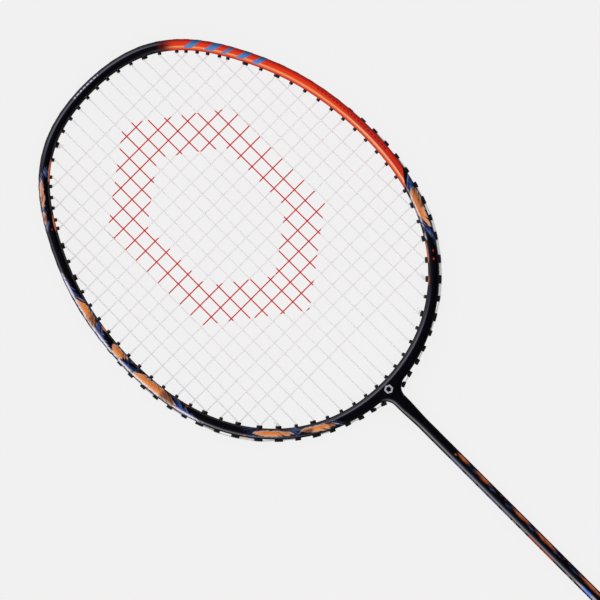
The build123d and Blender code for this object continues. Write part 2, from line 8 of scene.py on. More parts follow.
import bmesh
import bpy
import numpy as np
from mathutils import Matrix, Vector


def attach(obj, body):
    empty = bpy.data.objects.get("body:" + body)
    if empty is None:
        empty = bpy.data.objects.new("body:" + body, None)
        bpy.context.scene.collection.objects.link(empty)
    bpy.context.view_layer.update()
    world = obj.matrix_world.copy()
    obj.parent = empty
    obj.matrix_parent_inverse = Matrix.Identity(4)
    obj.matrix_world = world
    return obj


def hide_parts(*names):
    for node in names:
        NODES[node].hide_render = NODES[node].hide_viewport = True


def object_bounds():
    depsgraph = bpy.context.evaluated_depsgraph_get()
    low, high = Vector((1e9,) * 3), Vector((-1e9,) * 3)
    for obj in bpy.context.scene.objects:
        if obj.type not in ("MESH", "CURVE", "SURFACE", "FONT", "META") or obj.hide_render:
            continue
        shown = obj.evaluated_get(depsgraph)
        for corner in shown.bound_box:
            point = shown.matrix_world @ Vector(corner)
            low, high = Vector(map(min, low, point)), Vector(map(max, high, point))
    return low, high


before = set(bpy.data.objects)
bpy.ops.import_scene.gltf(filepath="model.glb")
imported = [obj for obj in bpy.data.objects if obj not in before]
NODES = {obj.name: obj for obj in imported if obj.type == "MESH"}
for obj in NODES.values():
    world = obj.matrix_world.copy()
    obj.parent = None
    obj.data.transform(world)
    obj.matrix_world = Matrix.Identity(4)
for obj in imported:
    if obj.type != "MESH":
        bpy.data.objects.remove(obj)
CAD_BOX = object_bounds()
MM = 0.001
TURN = 2 * np.pi

# ---- dimensions shared with the CAD frame, millimetres --------------------------------------
HEAD_CENTRE_Y = 549.14
# cosine terms of the inner edge's radius, by angle from the crown
HEAD_HARMONICS = (108.412, -2.6424, 13.7839, 1.6707, 0.1332, 0.1218, -0.4246, -0.3532,
                  -0.3231, -0.15, -0.0936)
HOOP_WIDTH, HOOP_WIDTH_THROAT = 6.4, 8.1
HOOP_H, HOOP_R = 5.2, 2.9  # half thickness and edge rounding
WALL_H = HOOP_H - HOOP_R  # half height of the flat edge walls
GROOVE_HALF, GROOVE_LOW, GROOVE_CROWN = 1.75, 0.45, 1.75  # half width, depths
NECK_Y0, NECK_Y1, NECK_HALF, NECK_FILLET = 391.0, 409.0, 4.2, 7.5
SHAFT_D, SHAFT_BORE, SHAFT_Y0 = 7.1, 4.1, 108.0
SHAFT_R = SHAFT_D / 2
SPIGOT_D, SPIGOT_TOP = 5.6, 408.0
STRING_R = 0.34
STRING_OUT = 0.37  # radius with the braided jacket
LAYER_Z = 0.36  # height of the mains at the bushes, the crosses lie as far below
WEAVE_Z = 0.385  # height at each crossing
LANE = 0.72  # string offset from the middle of a slotted bush
BEND = 0.75
BUSH_D, BUSH_BORE, BUSH_TIP, BUSH_SLOT = 2.2, 1.5, 1.6, 3.6
FLANGE_L, FLANGE_L_WIDE, FLANGE_HALF, FLANGE_H, FLANGE_BASE = 3.6, 5.0, 1.6, 1.9, 0.55
LEVEL_1 = FLANGE_BASE + STRING_R + 0.13  # string height over the seat, first layer
LEVEL_2 = LEVEL_1 + 2 * STRING_R + 0.2

# bush number: x, y on the +X side
BUSH_XY = {
    1: (4.2, 426.4), 2: (12.5, 427.0), 3: (20.8, 428.6), 4: (29.3, 430.6), 5: (37.7, 434.0),
    6: (45.7, 438.2), 7: (54.3, 443.8), 8: (62.3, 450.8), 9: (70.1, 458.9), 10: (77.8, 469.1),
    11: (82.9, 478.4), 12: (86.9, 488.0), 13: (89.7, 497.1), 14: (91.9, 506.5),
    15: (93.3, 516.0), 16: (94.3, 525.2), 17: (94.8, 534.7), 18: (95.0, 543.7),
    19: (94.2, 552.9), 20: (93.2, 561.9), 21: (91.8, 571.3), 22: (90.1, 580.7),
    23: (87.5, 589.6), 24: (84.1, 598.4), 25: (80.6, 608.0), 26: (76.2, 616.7),
    27: (71.5, 626.5), 28: (69.0, 631.1), 29: (64.9, 636.9), 30: (61.2, 642.0),
    31: (56.9, 647.1), 32: (53.1, 651.2), 33: (44.9, 657.5), 34: (36.6, 661.5),
    35: (28.4, 665.1), 36: (19.9, 666.8), 37: (12.1, 668.2), 38: (4.0, 668.8),
}
BUSH_EXIT = {1: (8.1, 416.9), 2: (15.0, 418.7), 3: (23.3, 420.6)}  # x, y of the outer end
TIE_OFF = (6, 8, 34)
SHARED = (9, 10, 12, 24, 26)
THROAT = (1, 2, 3, 4, 5, 7)
SIDE = (11, 13, 14, 15, 16, 17, 18, 19, 20, 21, 22, 23, 25)
CROWN = (27, 28, 29, 30, 31, 32, 33, 35, 36, 37, 38)
# bushes at the two ends of each main, from the axis outwards
MAIN_LOW = (1, 2, 3, 4, 5, 6, 7, 8, 9, 10, 12)
MAIN_TOP = (38, 37, 36, 35, 34, 33, 32, 30, 28, 26, 24)
CROSS = (31, 29, *range(27, 8, -1))  # bushes of the crosses, from the crown down


# ---- outline of the head --------------------------------------------------------------------
def smooth(t):
    t = np.clip(t, 0.0, 1.0)
    return t * t * (3 - 2 * t)


def fold(angle):
    """The angle mirrored to the +X side."""
    angle = np.arctan2(np.sin(angle), np.cos(angle))
    return np.where(np.abs(angle) <= np.pi / 2, angle, np.copysign(np.pi, angle) - angle)


def head_radius(angle):
    return sum(c * np.cos(k * (angle - np.pi / 2)) for k, c in enumerate(HEAD_HARMONICS))


def inner_xy(angle):
    """Point on the hoop's inner edge."""
    angle = np.asarray(angle, float)
    radius = head_radius(angle)
    return np.stack([radius * np.cos(angle), HEAD_CENTRE_Y + radius * np.sin(angle)], -1)


def outward(angle):
    """Unit normal of the inner edge, away from the strings."""
    tangent = inner_xy(np.asarray(angle) + 1e-4) - inner_xy(np.asarray(angle) - 1e-4)
    normal = np.stack([tangent[..., 1], -tangent[..., 0]], -1)
    return normal / np.linalg.norm(normal, axis=-1, keepdims=True)


def hoop_width(angle):
    widening = smooth((-55 - np.degrees(fold(angle))) / 35)
    return HOOP_WIDTH + (HOOP_WIDTH_THROAT - HOOP_WIDTH) * widening


def groove_depth(angle):
    deepening = smooth((np.degrees(fold(angle)) + 12) / 20)
    return GROOVE_LOW + (GROOVE_CROWN - GROOVE_LOW) * deepening


# ---- mesh helpers ---------------------------------------------------------------------------
def grid_faces(rows, columns, close_rows=False, close_columns=False, start=0, flip=False):
    """Quads of a rows x columns grid of vertices, row-major from start."""
    row, column = np.meshgrid(
        np.arange(rows if close_rows else rows - 1),
        np.arange(columns if close_columns else columns - 1), indexing="ij")
    next_row, next_column = (row + 1) % rows, (column + 1) % columns
    corners = [start + i * columns + j for i, j in (
        (row, column), (row, next_column), (next_row, next_column), (next_row, column))]
    return np.stack(corners[::-1] if flip else corners, -1).reshape(-1, 4).tolist()


def capped_faces(rows, columns, start=0):
    """Quads round a tube of rows, and a polygon over each end."""
    last = start + (rows - 1) * columns
    faces = grid_faces(rows, columns, close_columns=True, start=start)
    faces.append([start + k for k in range(columns)][::-1])
    faces.append([last + k for k in range(columns)])
    return faces


def around(radius, angle, y):
    """Points at a radius and angle about the racket's axis."""
    parts = np.broadcast_arrays(radius * np.cos(angle), y, radius * np.sin(angle))
    return np.stack(parts, -1)


def turned(profile, segments):
    """Vertices of a profile of (radius, y) turned about the racket's axis."""
    profile = np.array(profile, float)
    angle = np.linspace(0, TURN, segments, endpoint=False)
    return around(profile[:, :1], angle, profile[:, 1:]).reshape(-1, 3)


def lathe(name, profile, segments, sharp):
    """An object turned from a closed loop of (radius, y)."""
    faces = grid_faces(len(profile), segments, close_rows=True, close_columns=True)
    return make(name, turned(profile, segments), faces, recalc=True, sharp=sharp)


def blur(values, window):
    kernel = np.hanning(window)
    kernel /= kernel.sum()
    return np.convolve(np.pad(values, window // 2, mode="edge"), kernel, "valid")


def make(name, verts, faces, attrs=None, weld=None, recalc=False, sharp=None):
    """A smooth-shaded object in metres from vertices in millimetres."""
    mesh = bpy.data.meshes.new(name)
    mesh.from_pydata((np.asarray(verts, float) * MM).tolist(), [], faces)
    for key, values in (attrs or {}).items():
        attribute = mesh.attributes.new(key, "FLOAT", "POINT")
        attribute.data.foreach_set("value", np.asarray(values, np.float32).ravel())
    if weld or recalc:
        bm = bmesh.new()
        bm.from_mesh(mesh)
        if weld:
            bmesh.ops.remove_doubles(bm, verts=bm.verts, dist=weld * MM)
            bmesh.ops.dissolve_degenerate(bm, edges=bm.edges, dist=weld * MM)
        if recalc:
            bmesh.ops.recalc_face_normals(bm, faces=bm.faces)
        bm.to_mesh(mesh)
        bm.free()
    mesh.validate()
    mesh.polygons.foreach_set("use_smooth", np.full(len(mesh.polygons), True))
    mesh.update()
    ob = bpy.data.objects.new(name, mesh)
    bpy.context.scene.collection.objects.link(ob)
    if sharp is not None:
        split_sharp(ob, sharp)
    return ob


def split_sharp(ob, angle):
    """Marks edges sharper than angle (degrees), so that smooth shading stops there."""
    bm = bmesh.new()
    bm.from_mesh(ob.data)
    limit = math.radians(angle)
    for edge in bm.edges:
        if len(edge.link_faces) == 2 and edge.calc_face_angle(0.0) > limit:
            edge.smooth = False
    bm.to_mesh(ob.data)
    bm.free()


def place(ob, replaced):
    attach(ob, "root")
    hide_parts(replaced)


# ---- shader helpers -------------------------------------------------------------------------
def srgb(red, green, blue):
    """Linear RGBA of an sRGB colour given as 0 to 255."""
    def linear(level):
        level /= 255.0
        return level / 12.92 if level <= 0.04045 else ((level + 0.055) / 1.055) ** 2.4
    return (linear(red), linear(green), linear(blue), 1.0)


class Value:
    """An output socket that takes part in arithmetic; each operation adds a maths node."""

    def __init__(self, graph, socket):
        self.graph = graph
        self.socket = socket

    def output(self, key):
        return Value(self.graph, self.socket.node.outputs[key])

    def __add__(self, other):
        return self.graph.math("ADD", self, other)

    def __radd__(self, other):
        return self.graph.math("ADD", other, self)

    def __sub__(self, other):
        return self.graph.math("SUBTRACT", self, other)

    def __rsub__(self, other):
        return self.graph.math("SUBTRACT", other, self)

    def __mul__(self, other):
        return self.graph.math("MULTIPLY", self, other)

    def __truediv__(self, other):
        return self.graph.math("DIVIDE", self, other)


class Graph:
    """A node tree emptied and built up from values."""

    def __init__(self, tree, spare=0.5):
        self.tree = tree
        self.spare = spare  # number on the third, idle input of maths nodes
        tree.nodes.clear()

    def put(self, socket, value):
        if isinstance(value, Value):
            self.tree.links.new(value.socket, socket)
        else:
            socket.default_value = value

    def add(self, kind, inputs=None, output=0, **settings):
        """Adds a node and returns one of its outputs."""
        node = self.tree.nodes.new("ShaderNode" + kind)
        for key, value in settings.items():
            setattr(node, key, value)
        for key, value in (inputs or {}).items():
            self.put(node.inputs[key], value)
        return Value(self, node.outputs[output])

    def math(self, operation, first, second=0.0):
        return self.add("Math", {0: first, 1: second, 2: self.spare}, operation=operation)

    def end(self, kind, surface):
        node = self.tree.nodes.new("ShaderNode" + kind)
        self.put(node.inputs["Surface"], surface)


class Material(Graph):
    def __init__(self, name):
        self.material = bpy.data.materials.new(name)
        self.material.use_nodes = True
        super().__init__(self.material.node_tree, spare=0.0)

    def attr(self, name):
        return self.add("Attribute", output="Fac", attribute_name=name)

    def coords(self):
        return self.add("TexCoord", output="Object")

    def square_on(self):
        """1 where the surface faces the viewer, 0 where it is seen edge on."""
        return 1.0 - self.add("LayerWeight", {0: 0.5}, output="Facing")

    def finish(self, **inputs):
        """Closes the material with a principled shader; underscores stand for spaces."""
        named = {key.replace("_", " "): value for key, value in inputs.items()}
        self.end("OutputMaterial", self.add("BsdfPrincipled", named))
        return self.material


def split(vector):
    parts = vector.graph.add("SeparateXYZ", {0: vector})
    return [parts.output(k) for k in range(3)]


def join(x, y, z=0.0):
    return x.graph.add("CombineXYZ", {0: x, 1: y, 2: z})


def rise(value, low, high, bottom=0.0, top=1.0):
    """Climbs smoothly from bottom at low to top at high."""
    inputs = dict(enumerate((value, low, high, bottom, top)))
    return value.graph.add("MapRange", inputs, interpolation_type="SMOOTHSTEP")


def fall(value, low, high):
    """1 below low, 0 above high."""
    return 1.0 - rise(value, low, high)


def band(value, start, full, fade, end):
    """0 up to start, 1 from full to fade, 0 again from end."""
    return rise(value, start, full) * fall(value, fade, end)


def larger(first, second):
    return first.graph.math("MAXIMUM", first, second)


def smaller(first, second):
    return first.graph.math("MINIMUM", first, second)


def magnitude(value):
    return value.graph.math("ABSOLUTE", value)


def sine(value):
    return value.graph.math("SINE", value)


def fraction(value):
    return value.graph.math("FRACT", value)


def squared(value):
    return value.graph.math("POWER", value, 2.0)


def root(value):
    return value.graph.math("SQRT", value)


def polar(rise_part, run_part):
    """Angle in radians, from its rise and run."""
    return rise_part.graph.math("ARCTAN2", rise_part, run_part)


def mix(factor, first, second):
    return factor.graph.add("Mix", {0: factor, 6: first, 7: second}, output=2, data_type="RGBA")


def noise(vector, scale, detail=4.0, rough=0.5, distort=0.0):
    return vector.graph.add("TexNoise", {
        "Vector": vector, "Scale": scale, "Detail": detail, "Roughness": rough,
        "Distortion": distort})


def bump(height, strength, distance=0.0001):
    return height.graph.add("Bump", {
        "Height": height, "Strength": strength, "Distance": distance})


def ramp(value, stops):
    """Colour ramp through (position, linear colour) stops."""
    result = value.graph.add("ValToRGB", {0: value})
    elements = result.socket.node.color_ramp.elements
    while len(elements) < len(stops):
        elements.new(0.5)
    for k, (position, colour) in enumerate(stops):
        elements[k].position = position
        elements[k].color = colour
    return result


def tints(value, rows):
    """Colour ramp through rows of position, red, green, blue (sRGB)."""
    return ramp(value, [(position, srgb(*colour)) for position, *colour in rows])


# ---- paint layout of the hoop ---------------------------------------------------------------
# Points are (angle round the head in degrees from +X, 0 outer edge to 1 inner edge).
ORANGE = [
    [(-43.5, .16), (-42.6, .42), (-40, .78), (-38, .95), (-33.5, .97), (-31, .6), (-30.2, .3),
     (-32, .16)],
    [(118.2, .3), (119.4, .14), (121.3, .07), (124, .08), (126.4, .26), (125.4, .4),
     (123, .5), (120.6, .46)],
    [(127, .06), (128.8, .0), (130.9, .1), (130.3, .33), (128.6, .36), (127.2, .26)],
    [(155, .18), (157.2, .5), (158.8, .78), (162, .87), (165.6, .86), (168.0, .5),
     (167, .22), (164, .17)],
    [(178.3, .35), (180, .2), (182.2, .34), (183.8, .8), (182.5, .93), (178.6, .93),
     (176.8, .8), (177, .6)],
    [(187.5, .1), (188.8, .4), (190.3, .7), (193, .86), (199, .87), (203, .8), (206, .4),
     (205, .14), (198, .09)],
    [(230.4, .5), (232.5, .32), (235, .27), (239, .29), (241.8, .42), (241.0, .6),
     (237.4, .84), (233.4, .83), (231.2, .68)],
    [(243.6, .64), (245.4, .4), (248, .25), (251, .19), (254.0, .3), (252.4, .6),
     (248.8, .79), (245.2, .8)],
]
STREAKS = [  # thin orange streaks along the inner edge
    [(-53, .93), (-51, .88), (-48, .9), (-46.5, .96), (-47, 1.02), (-53, 1.02)],
    [(-59.5, .95), (-58, .91), (-56.5, .96), (-56.5, 1.02), (-59.5, 1.02)],
    [(112.5, .95), (115, .88), (119, .9), (118.5, 1.02), (112.5, 1.02)],
    [(128.5, .93), (131, .85), (133.5, .9), (133, 1.02), (129, 1.02)],
    [(169, .9), (170.2, .82), (172, .95), (171.5, 1.02), (169.5, 1.02)],
]
BLUE = [
    [(-48, .05), (-44, .03), (-42.6, .3), (-39.5, .82), (-37, 1.0), (-40.5, .98),
     (-43.8, .5), (-46.5, .2)],
    [(-46.2, .8), (-44.4, .76), (-44.0, .92), (-45.4, .96)],
    [(-31, .1), (-23.5, .05), (-25.5, .35), (-28.5, .78), (-31, .95), (-31.5, .5)],
    [(114.5, .8), (116.8, .35), (118.5, .08), (120.5, .02), (119.5, .35), (117.5, .72)],
    [(124.5, .03), (126.4, .02), (127.8, .3), (126.8, .56), (125.2, .36)],
    [(130.3, .03), (133, .0), (132.2, .3), (130.8, .55), (130.0, .4)],
    [(145, .02), (150, .02), (154.5, .04), (157.2, .5), (159, .84), (156.5, .72),
     (152.5, .42), (148.5, .2)],
    [(167.2, .95), (167.6, .5), (167, .12), (173, .02), (178.5, .04), (176.5, .2),
     (173, .42), (170.4, .62), (168.3, .98)],
    [(181.6, .04), (187, .03), (189, .36), (191, .76), (188.4, .66), (186.0, .52),
     (183.6, .42), (182.2, .24)],
    [(184.0, .6), (185.6, .7), (186.4, .95), (184.6, .95)],
    [(204.5, .92), (205.8, .45), (205.4, .12), (213, .02), (216, .05), (212.5, .3),
     (208.6, .62)],
    [(226.5, .95), (228, .62), (229.8, .3), (232, .12), (231.6, .5), (230.6, .88),
     (228.5, .98)],
    [(240.6, .9), (241.4, .55), (242.3, .2), (243.9, .1), (243.6, .5), (242.9, .92),
     (241.6, .98)],
    [(252.3, .8), (253.3, .4), (253, .1), (255.4, .22), (254.3, .55)],
]
DAGGER = [[(-25.5, .02), (-22.6, .0), (-30, 1.05), (-32, 1.05), (-28.5, .6)]]
FLECKS = [  # angle, place across, radius in mm
    (-52, .45, .55), (-49.7, .42, .5), (132.7, .6, .45), (209.3, .85, .5), (186, .95, .4),
    (188.3, .98, .45), (228.3, .15, .55)]
MARBLED = [  # first and last angle, first and last place across
    (-37.5, -29, .0, .5), (163.5, 168.5, 0, .8), (199.5, 206, 0, .9), (243.5, 247.5, 0, .65),
    (128, 130.5, 0, .5)]
PATCH_CENTRES = np.array((-36.5, 122.0, 129.2, 161.5, 180.5, 197.0, 236.5, 248.5))
BARS = [  # slanted bars: centre and width in degrees
    (37.5, 2.2), (42.6, 2.4), (47.8, 1.4), (52.2, 2.6), (58.2, 2.4)]
PER_DEG = 1.95  # mm along the hoop for each degree
ACROSS = 6.4  # mm across the hoop
FAR = 6.0  # signed distances stay within this many mm


def polygon_distance(points, polygon):
    """Signed distance of points to a polygon, positive inside."""
    polygon = np.asarray(polygon, float)
    nearest = np.full(len(points), 1e9)
    inside = np.zeros(len(points), bool)
    for start, end in zip(polygon, np.roll(polygon, -1, axis=0)):
        edge, offset = end - start, points - start
        share = np.clip((offset @ edge) / max(edge @ edge, 1e-12), 0, 1)
        nearest = np.minimum(nearest, np.hypot(*(offset - share[:, None] * edge).T))
        spans = (start[1] > points[:, 1]) != (end[1] > points[:, 1])
        with np.errstate(divide="ignore", invalid="ignore"):
            x = edge[0] * offset[:, 1] / edge[1] + start[0]
        inside ^= spans & (points[:, 0] < x)
    return np.where(inside, nearest, -nearest)


def layout_distance(phi, across, shapes):
    """Largest signed distance over a set of shapes, in millimetres."""
    largest = np.full(len(phi), -FAR)
    scale = np.array((PER_DEG, ACROSS))
    points = np.stack([phi, across], -1) * scale
    for shape in shapes:
        first = min(point[0] for point in shape) - 4
        last = max(point[0] for point in shape) + 4
        near = (phi > first) & (phi < last)
        if near.any():
            distance = polygon_distance(points[near], np.array(shape) * scale)
            largest[near] = np.maximum(largest[near], distance)
    return largest


def paint_attributes(across, phi):
    """What the frame's paint reads at each vertex; distances in mm, positive inside."""
    kept = np.clip(across, 0.02, 0.985)
    flecks = np.full(len(phi), -FAR)
    for angle, place_across, radius in FLECKS:
        offset = np.hypot((phi - angle) * PER_DEG * 0.75, (kept - place_across) * ACROSS)
        flecks = np.maximum(flecks, radius - offset)
    marbled = np.zeros(len(phi))
    for first, last, outer, inner in MARBLED:
        lengthwise = smooth((phi - first) / 1.2) * smooth((last - phi) / 1.2)
        crosswise = smooth((inner + 0.1 - kept) / 0.2) * smooth((kept - outer + 0.1) / 0.1)
        marbled = np.maximum(marbled, lengthwise * crosswise)
    bars = np.full(len(phi), -FAR)
    for centre, width in BARS:
        slanted = centre + (kept - 0.45) * 3.4
        along = width / 2 * PER_DEG - np.abs(phi - slanted) * PER_DEG
        bars = np.maximum(bars, np.minimum(along, (0.41 - np.abs(kept - 0.43)) * ACROSS))
    red_start, red_end = -22.8 + kept * -7.2, 66.5
    red = np.minimum((phi - red_start) * PER_DEG, (red_end - phi) * PER_DEG)
    red = np.where(phi > 200, -FAR, red)
    patch = np.abs(phi[:, None] - PATCH_CENTRES[None, :]).argmin(1)
    return {
        "turn": smooth((phi - PATCH_CENTRES[patch]) / 3.0 + 0.5),
        "phi": phi, "w": across, "zone": ((phi > -40) & (phi < 110)).astype(float),
        "orange": layout_distance(phi, kept, ORANGE),
        "streak": layout_distance(phi, np.clip(across, 0.02, 1.0), STREAKS),
        "blue": layout_distance(phi, kept, BLUE),
        "dagger": layout_distance(phi, kept, DAGGER),
        "fleck": flecks, "marbled": marbled, "bars": bars, "red": np.clip(red, -FAR, FAR),
    }


# ---- head frame -----------------------------------------------------------------------------
NECK_STEPS, FILLET_STEPS, ROUND_STEPS = 22, 18, 13
# The top surface runs in to the axis up to AXIS_UNTIL degrees, then to the inner edge, whose
# points catch up with the outer ones at CAUGHT degrees.
AXIS_UNTIL, CAUGHT = -82.0, -68.0
AXIS_Y_FILLET, AXIS_Y_END = 421.0, 423.36  # places on the axis after fillet and throat
WALL_SHADE = 8  # mm of wall for each unit of "w" beyond the edges


def fillet_centre(angle):
    return inner_xy(angle) + outward(angle) * (hoop_width(angle) + NECK_FILLET)


def fillet_touch():
    """Angle where the plan fillet that touches the neck also touches the hoop."""
    low, high = math.radians(-89.0), math.radians(-70.0)
    for _ in range(60):
        middle = (low + high) / 2
        if fillet_centre(middle)[0] < NECK_HALF + NECK_FILLET:
            low = middle
        else:
            high = middle
    return (low + high) / 2


def neck_blend(y, hoop_value):
    """From the shaft's radius at the foot of the neck to the hoop's own value."""
    share = float(smooth((y - NECK_Y0) / (NECK_Y1 - NECK_Y0)))
    return SHAFT_R + (hoop_value - SHAFT_R) * share


def head_stations():
    """Stations along the +X outer edge, and the angles of those that reach the inner edge.

    Each station: outer point, normal, rounding, half thickness, groove depth, width, angle,
    then the point, height and angle where the top surface ends.
    """
    def axis_end(y):
        return (0.0, y), neck_blend(y, HOOP_H), -90.0

    touch = fillet_touch()
    first = math.degrees(touch)
    centre = fillet_centre(touch)
    stations, inner_angles = [], []
    for y in np.linspace(NECK_Y0, centre[1], NECK_STEPS, endpoint=False):
        stations.append((
            (neck_blend(y, NECK_HALF), y), (1.0, 0.0), neck_blend(y, HOOP_R),
            neck_blend(y, HOOP_H), 0.0, HOOP_WIDTH_THROAT, -90.0, *axis_end(y)))
    inwards = -outward(touch)
    last_angle = math.atan2(inwards[1], inwards[0])
    if last_angle < 0:
        last_angle += 2 * math.pi
    for k in range(FILLET_STEPS):
        share = k / FILLET_STEPS
        angle = math.pi + (last_angle - math.pi) * share
        ray = np.array([math.cos(angle), math.sin(angle)])
        stations.append((
            centre + NECK_FILLET * ray, -ray, HOOP_R, HOOP_H, 0.0, HOOP_WIDTH_THROAT,
            -90 + share * (first + 90),
            *axis_end(centre[1] + (AXIS_Y_FILLET - centre[1]) * share)))
    for degrees in np.concatenate([[first], np.arange(math.ceil(first * 2) / 2, 90.001, 0.5)]):
        angle = math.radians(degrees)
        normal, width = outward(angle), float(hoop_width(angle))
        groove = float(groove_depth(angle)) * float(smooth((degrees - first) / 2.0))
        if degrees < AXIS_UNTIL:
            share = (degrees - first) / (AXIS_UNTIL - first)
            end = axis_end(AXIS_Y_FILLET + (AXIS_Y_END - AXIS_Y_FILLET) * share)
        else:
            inner = degrees
            if degrees < CAUGHT:
                inner = -90 + (degrees - AXIS_UNTIL) * (CAUGHT + 90) / (CAUGHT - AXIS_UNTIL)
            inner = math.radians(inner)
            inner_angles.append(inner)
            edge = inner_xy(inner) + outward(inner) * HOOP_R
            end = (edge, HOOP_H, math.degrees(inner))
        stations.append((
            inner_xy(angle) + normal * width, normal, HOOP_R, HOOP_H, groove, width, degrees,
            *end))
    return stations, np.array(inner_angles)


def head_row(plan, z, across, phi):
    """One row of vertices: x, y, z, place across, angle."""
    columns = [np.broadcast_to(column, len(plan)) for column in (z, across, phi)]
    return np.column_stack([plan, *columns])


def outer_rows(stations, reached):
    """Rows from the groove over the outer rounding and the top, to the end of the top."""
    columns = [np.array(column) for column in zip(*stations)]
    edge, normal, rounding, height, groove, width, phi, end, end_height, end_phi = columns
    end[len(stations) - reached, 0] = 0.0
    wall = (height - rounding) / WALL_H
    bevel = np.minimum(0.15, groove * 0.3)
    flat = np.zeros(len(stations))
    wall_profile = [  # height up the wall, depth from the outer edge
        (0.0, groove), (0.7, groove), (1.3, groove), (GROOVE_HALF - bevel, groove),
        (GROOVE_HALF - 0.3 * bevel, groove - 0.3 * bevel), (GROOVE_HALF, groove - bevel),
        (GROOVE_HALF, bevel), (GROOVE_HALF + 0.3 * bevel, 0.3 * bevel),
        (GROOVE_HALF + bevel, flat), (2.12, flat),
    ]
    rows = [
        head_row(edge - normal * depth[:, None], z * wall, -(WALL_H - z) / WALL_SHADE, phi)
        for z, depth in wall_profile]
    for angle in np.linspace(0, math.pi / 2, ROUND_STEPS):
        depth = rounding * (1 - math.cos(angle))
        rows.append(head_row(
            edge - normal * depth[:, None], (height - rounding) + rounding * math.sin(angle),
            depth / width, phi))
    top = edge - normal * rounding[:, None]
    for share in np.linspace(0, 1, 7)[1:]:
        rows.append(head_row(
            top + (end - top) * share, height + (end_height - height) * share,
            (rounding + (width - HOOP_R - rounding) * share) / width,
            phi + (end_phi - phi) * share))
    return np.array(rows)


def inner_rows(angles):
    """Rows over the inner rounding and down the inner wall."""
    base, normal, width = inner_xy(angles), outward(angles), hoop_width(angles)
    rows = []
    for angle in np.linspace(math.pi / 2, 0, ROUND_STEPS):
        depth = HOOP_R * (1 - math.cos(angle))
        rows.append((depth, WALL_H + HOOP_R * math.sin(angle), 1 - depth / width))
    rows += [(0.0, z, 1 + (WALL_H - z) / WALL_SHADE) for z in (1.5, 0.75, 0.0)]
    rows = np.array([
        head_row(base + normal * depth, z, across, np.degrees(angles))
        for depth, z, across in rows])
    rows[:, [0, -1], 0] = 0.0
    return rows


def head_frame_mesh():
    stations, inner_angles = head_stations()
    outer = outer_rows(stations, len(inner_angles))
    inner = inner_rows(inner_angles)
    # the neck's end face, a ring in to the spigot
    end = outer[:, 0]
    face = np.array([
        head_row(np.stack([end[:, 0] * scale, np.full(len(end), NECK_Y0)], 1),
                 end[:, 2] * scale, 0.5, -90.0)
        for scale in (1.0, SPIGOT_D / SHAFT_D)])
    quads, count, parts = [], 0, []
    for rows, flip in ((outer, False), (inner, False), (face, True)):
        quads += grid_faces(*rows.shape[:2], start=count, flip=flip)
        parts.append(rows.reshape(-1, 5))
        count += len(parts[-1])
    quarter = np.concatenate(parts)
    quarter[np.abs(quarter[:, 0]) < 1e-6, 0] = 0.0
    # four mirrored copies, welded along the planes of symmetry
    copies, faces = [], []
    for side in (1, -1):
        for up in (1, -1):
            copy = quarter * (side, 1, up, 1, 1)
            if side < 0:
                copy[:, 4] = 180 - quarter[:, 4]
            quad = np.array(quads) + len(quarter) * len(copies)
            copies.append(copy)
            faces += (quad if side * up > 0 else quad[:, ::-1]).tolist()
    verts = np.concatenate(copies)
    ob = make("head_frame_painted", verts[:, :3], faces,
              paint_attributes(verts[:, 3], verts[:, 4]), weld=0.004, sharp=60)
    neck_socket(ob)
    return ob


def neck_socket(ob):
    """The blind socket in the neck that takes the shaft's stepped end."""
    clearance, depth_clearance = 1.007, 0.2
    bm = bmesh.new()
    bm.from_mesh(ob.data)
    mouth = [
        edge for edge in bm.edges
        if edge.is_boundary and all(abs(v.co.y - NECK_Y0 * MM) < 1e-5 for v in edge.verts)]
    for item in bmesh.ops.extrude_edge_only(bm, edges=mouth)["geom"]:
        if isinstance(item, bmesh.types.BMVert):
            item.co.x *= clearance
            item.co.y = (SPIGOT_TOP + depth_clearance) * MM
            item.co.z *= clearance
    bmesh.ops.holes_fill(bm, edges=[edge for edge in bm.edges if edge.is_boundary], sides=0)
    bmesh.ops.recalc_face_normals(bm, faces=bm.faces)
    bm.to_mesh(ob.data)
    bm.free()
    split_sharp(ob, 60)


# ---- paint of the head frame ----------------------------------------------------------------
# position across the hoop, then red, green, blue
# ORANGE_ACROSS holds painted light: a pale painted highlight near the outer shoulder (0.14 to
# 0.34), painted shade toward both edges
ORANGE_ACROSS = [
    (0.0, 96, 62, 50), (0.07, 150, 108, 96), (0.14, 222, 176, 158), (0.24, 234, 182, 146),
    (0.34, 234, 156, 102), (0.45, 232, 138, 64), (0.62, 222, 118, 44), (0.76, 196, 96, 38),
    (0.88, 140, 66, 32), (1.0, 84, 40, 24)]
ORANGE_FEATHER = [  # the same, from a patch's rim to its middle
    (0.0, 40, 42, 66), (0.14, 112, 112, 130), (0.3, 184, 164, 156), (0.55, 222, 156, 104),
    (1.0, 232, 136, 62)]
# RED_ACROSS and RED_ACROSS_LOW hold painted light: painted shade toward the outer edge (0) and a
# pale painted highlight line near 0.7
RED_ACROSS = [
    (0.0, 128, 18, 14), (0.12, 160, 26, 18), (0.22, 196, 32, 18), (0.33, 218, 44, 16),
    (0.52, 222, 50, 18), (0.6, 222, 60, 22), (0.67, 222, 116, 62), (0.72, 232, 166, 116),
    (0.77, 224, 128, 72), (0.83, 222, 90, 38), (0.9, 218, 68, 22), (1.0, 212, 46, 12)]
RED_ACROSS_LOW = [  # below the head's widest part
    (0.0, 96, 14, 11), (0.12, 152, 24, 18), (0.22, 190, 32, 22), (0.33, 206, 38, 24),
    (0.45, 176, 32, 20), (0.55, 172, 34, 20), (0.62, 204, 78, 42), (0.68, 234, 168, 128),
    (0.73, 236, 178, 138), (0.79, 226, 120, 70), (0.87, 220, 78, 32), (1.0, 210, 50, 18)]


def soft_noise(space, scale):
    return noise(space, scale=scale, detail=5.0, rough=0.62, distort=0.6)


def fine_noise(space, scale):
    return noise(space, scale=scale, detail=6.0, rough=0.7, distort=1.2)


def near_black(mat):
    return mix(noise(mat.coords(), scale=900, detail=2), srgb(2, 1, 3), srgb(5, 3, 6))


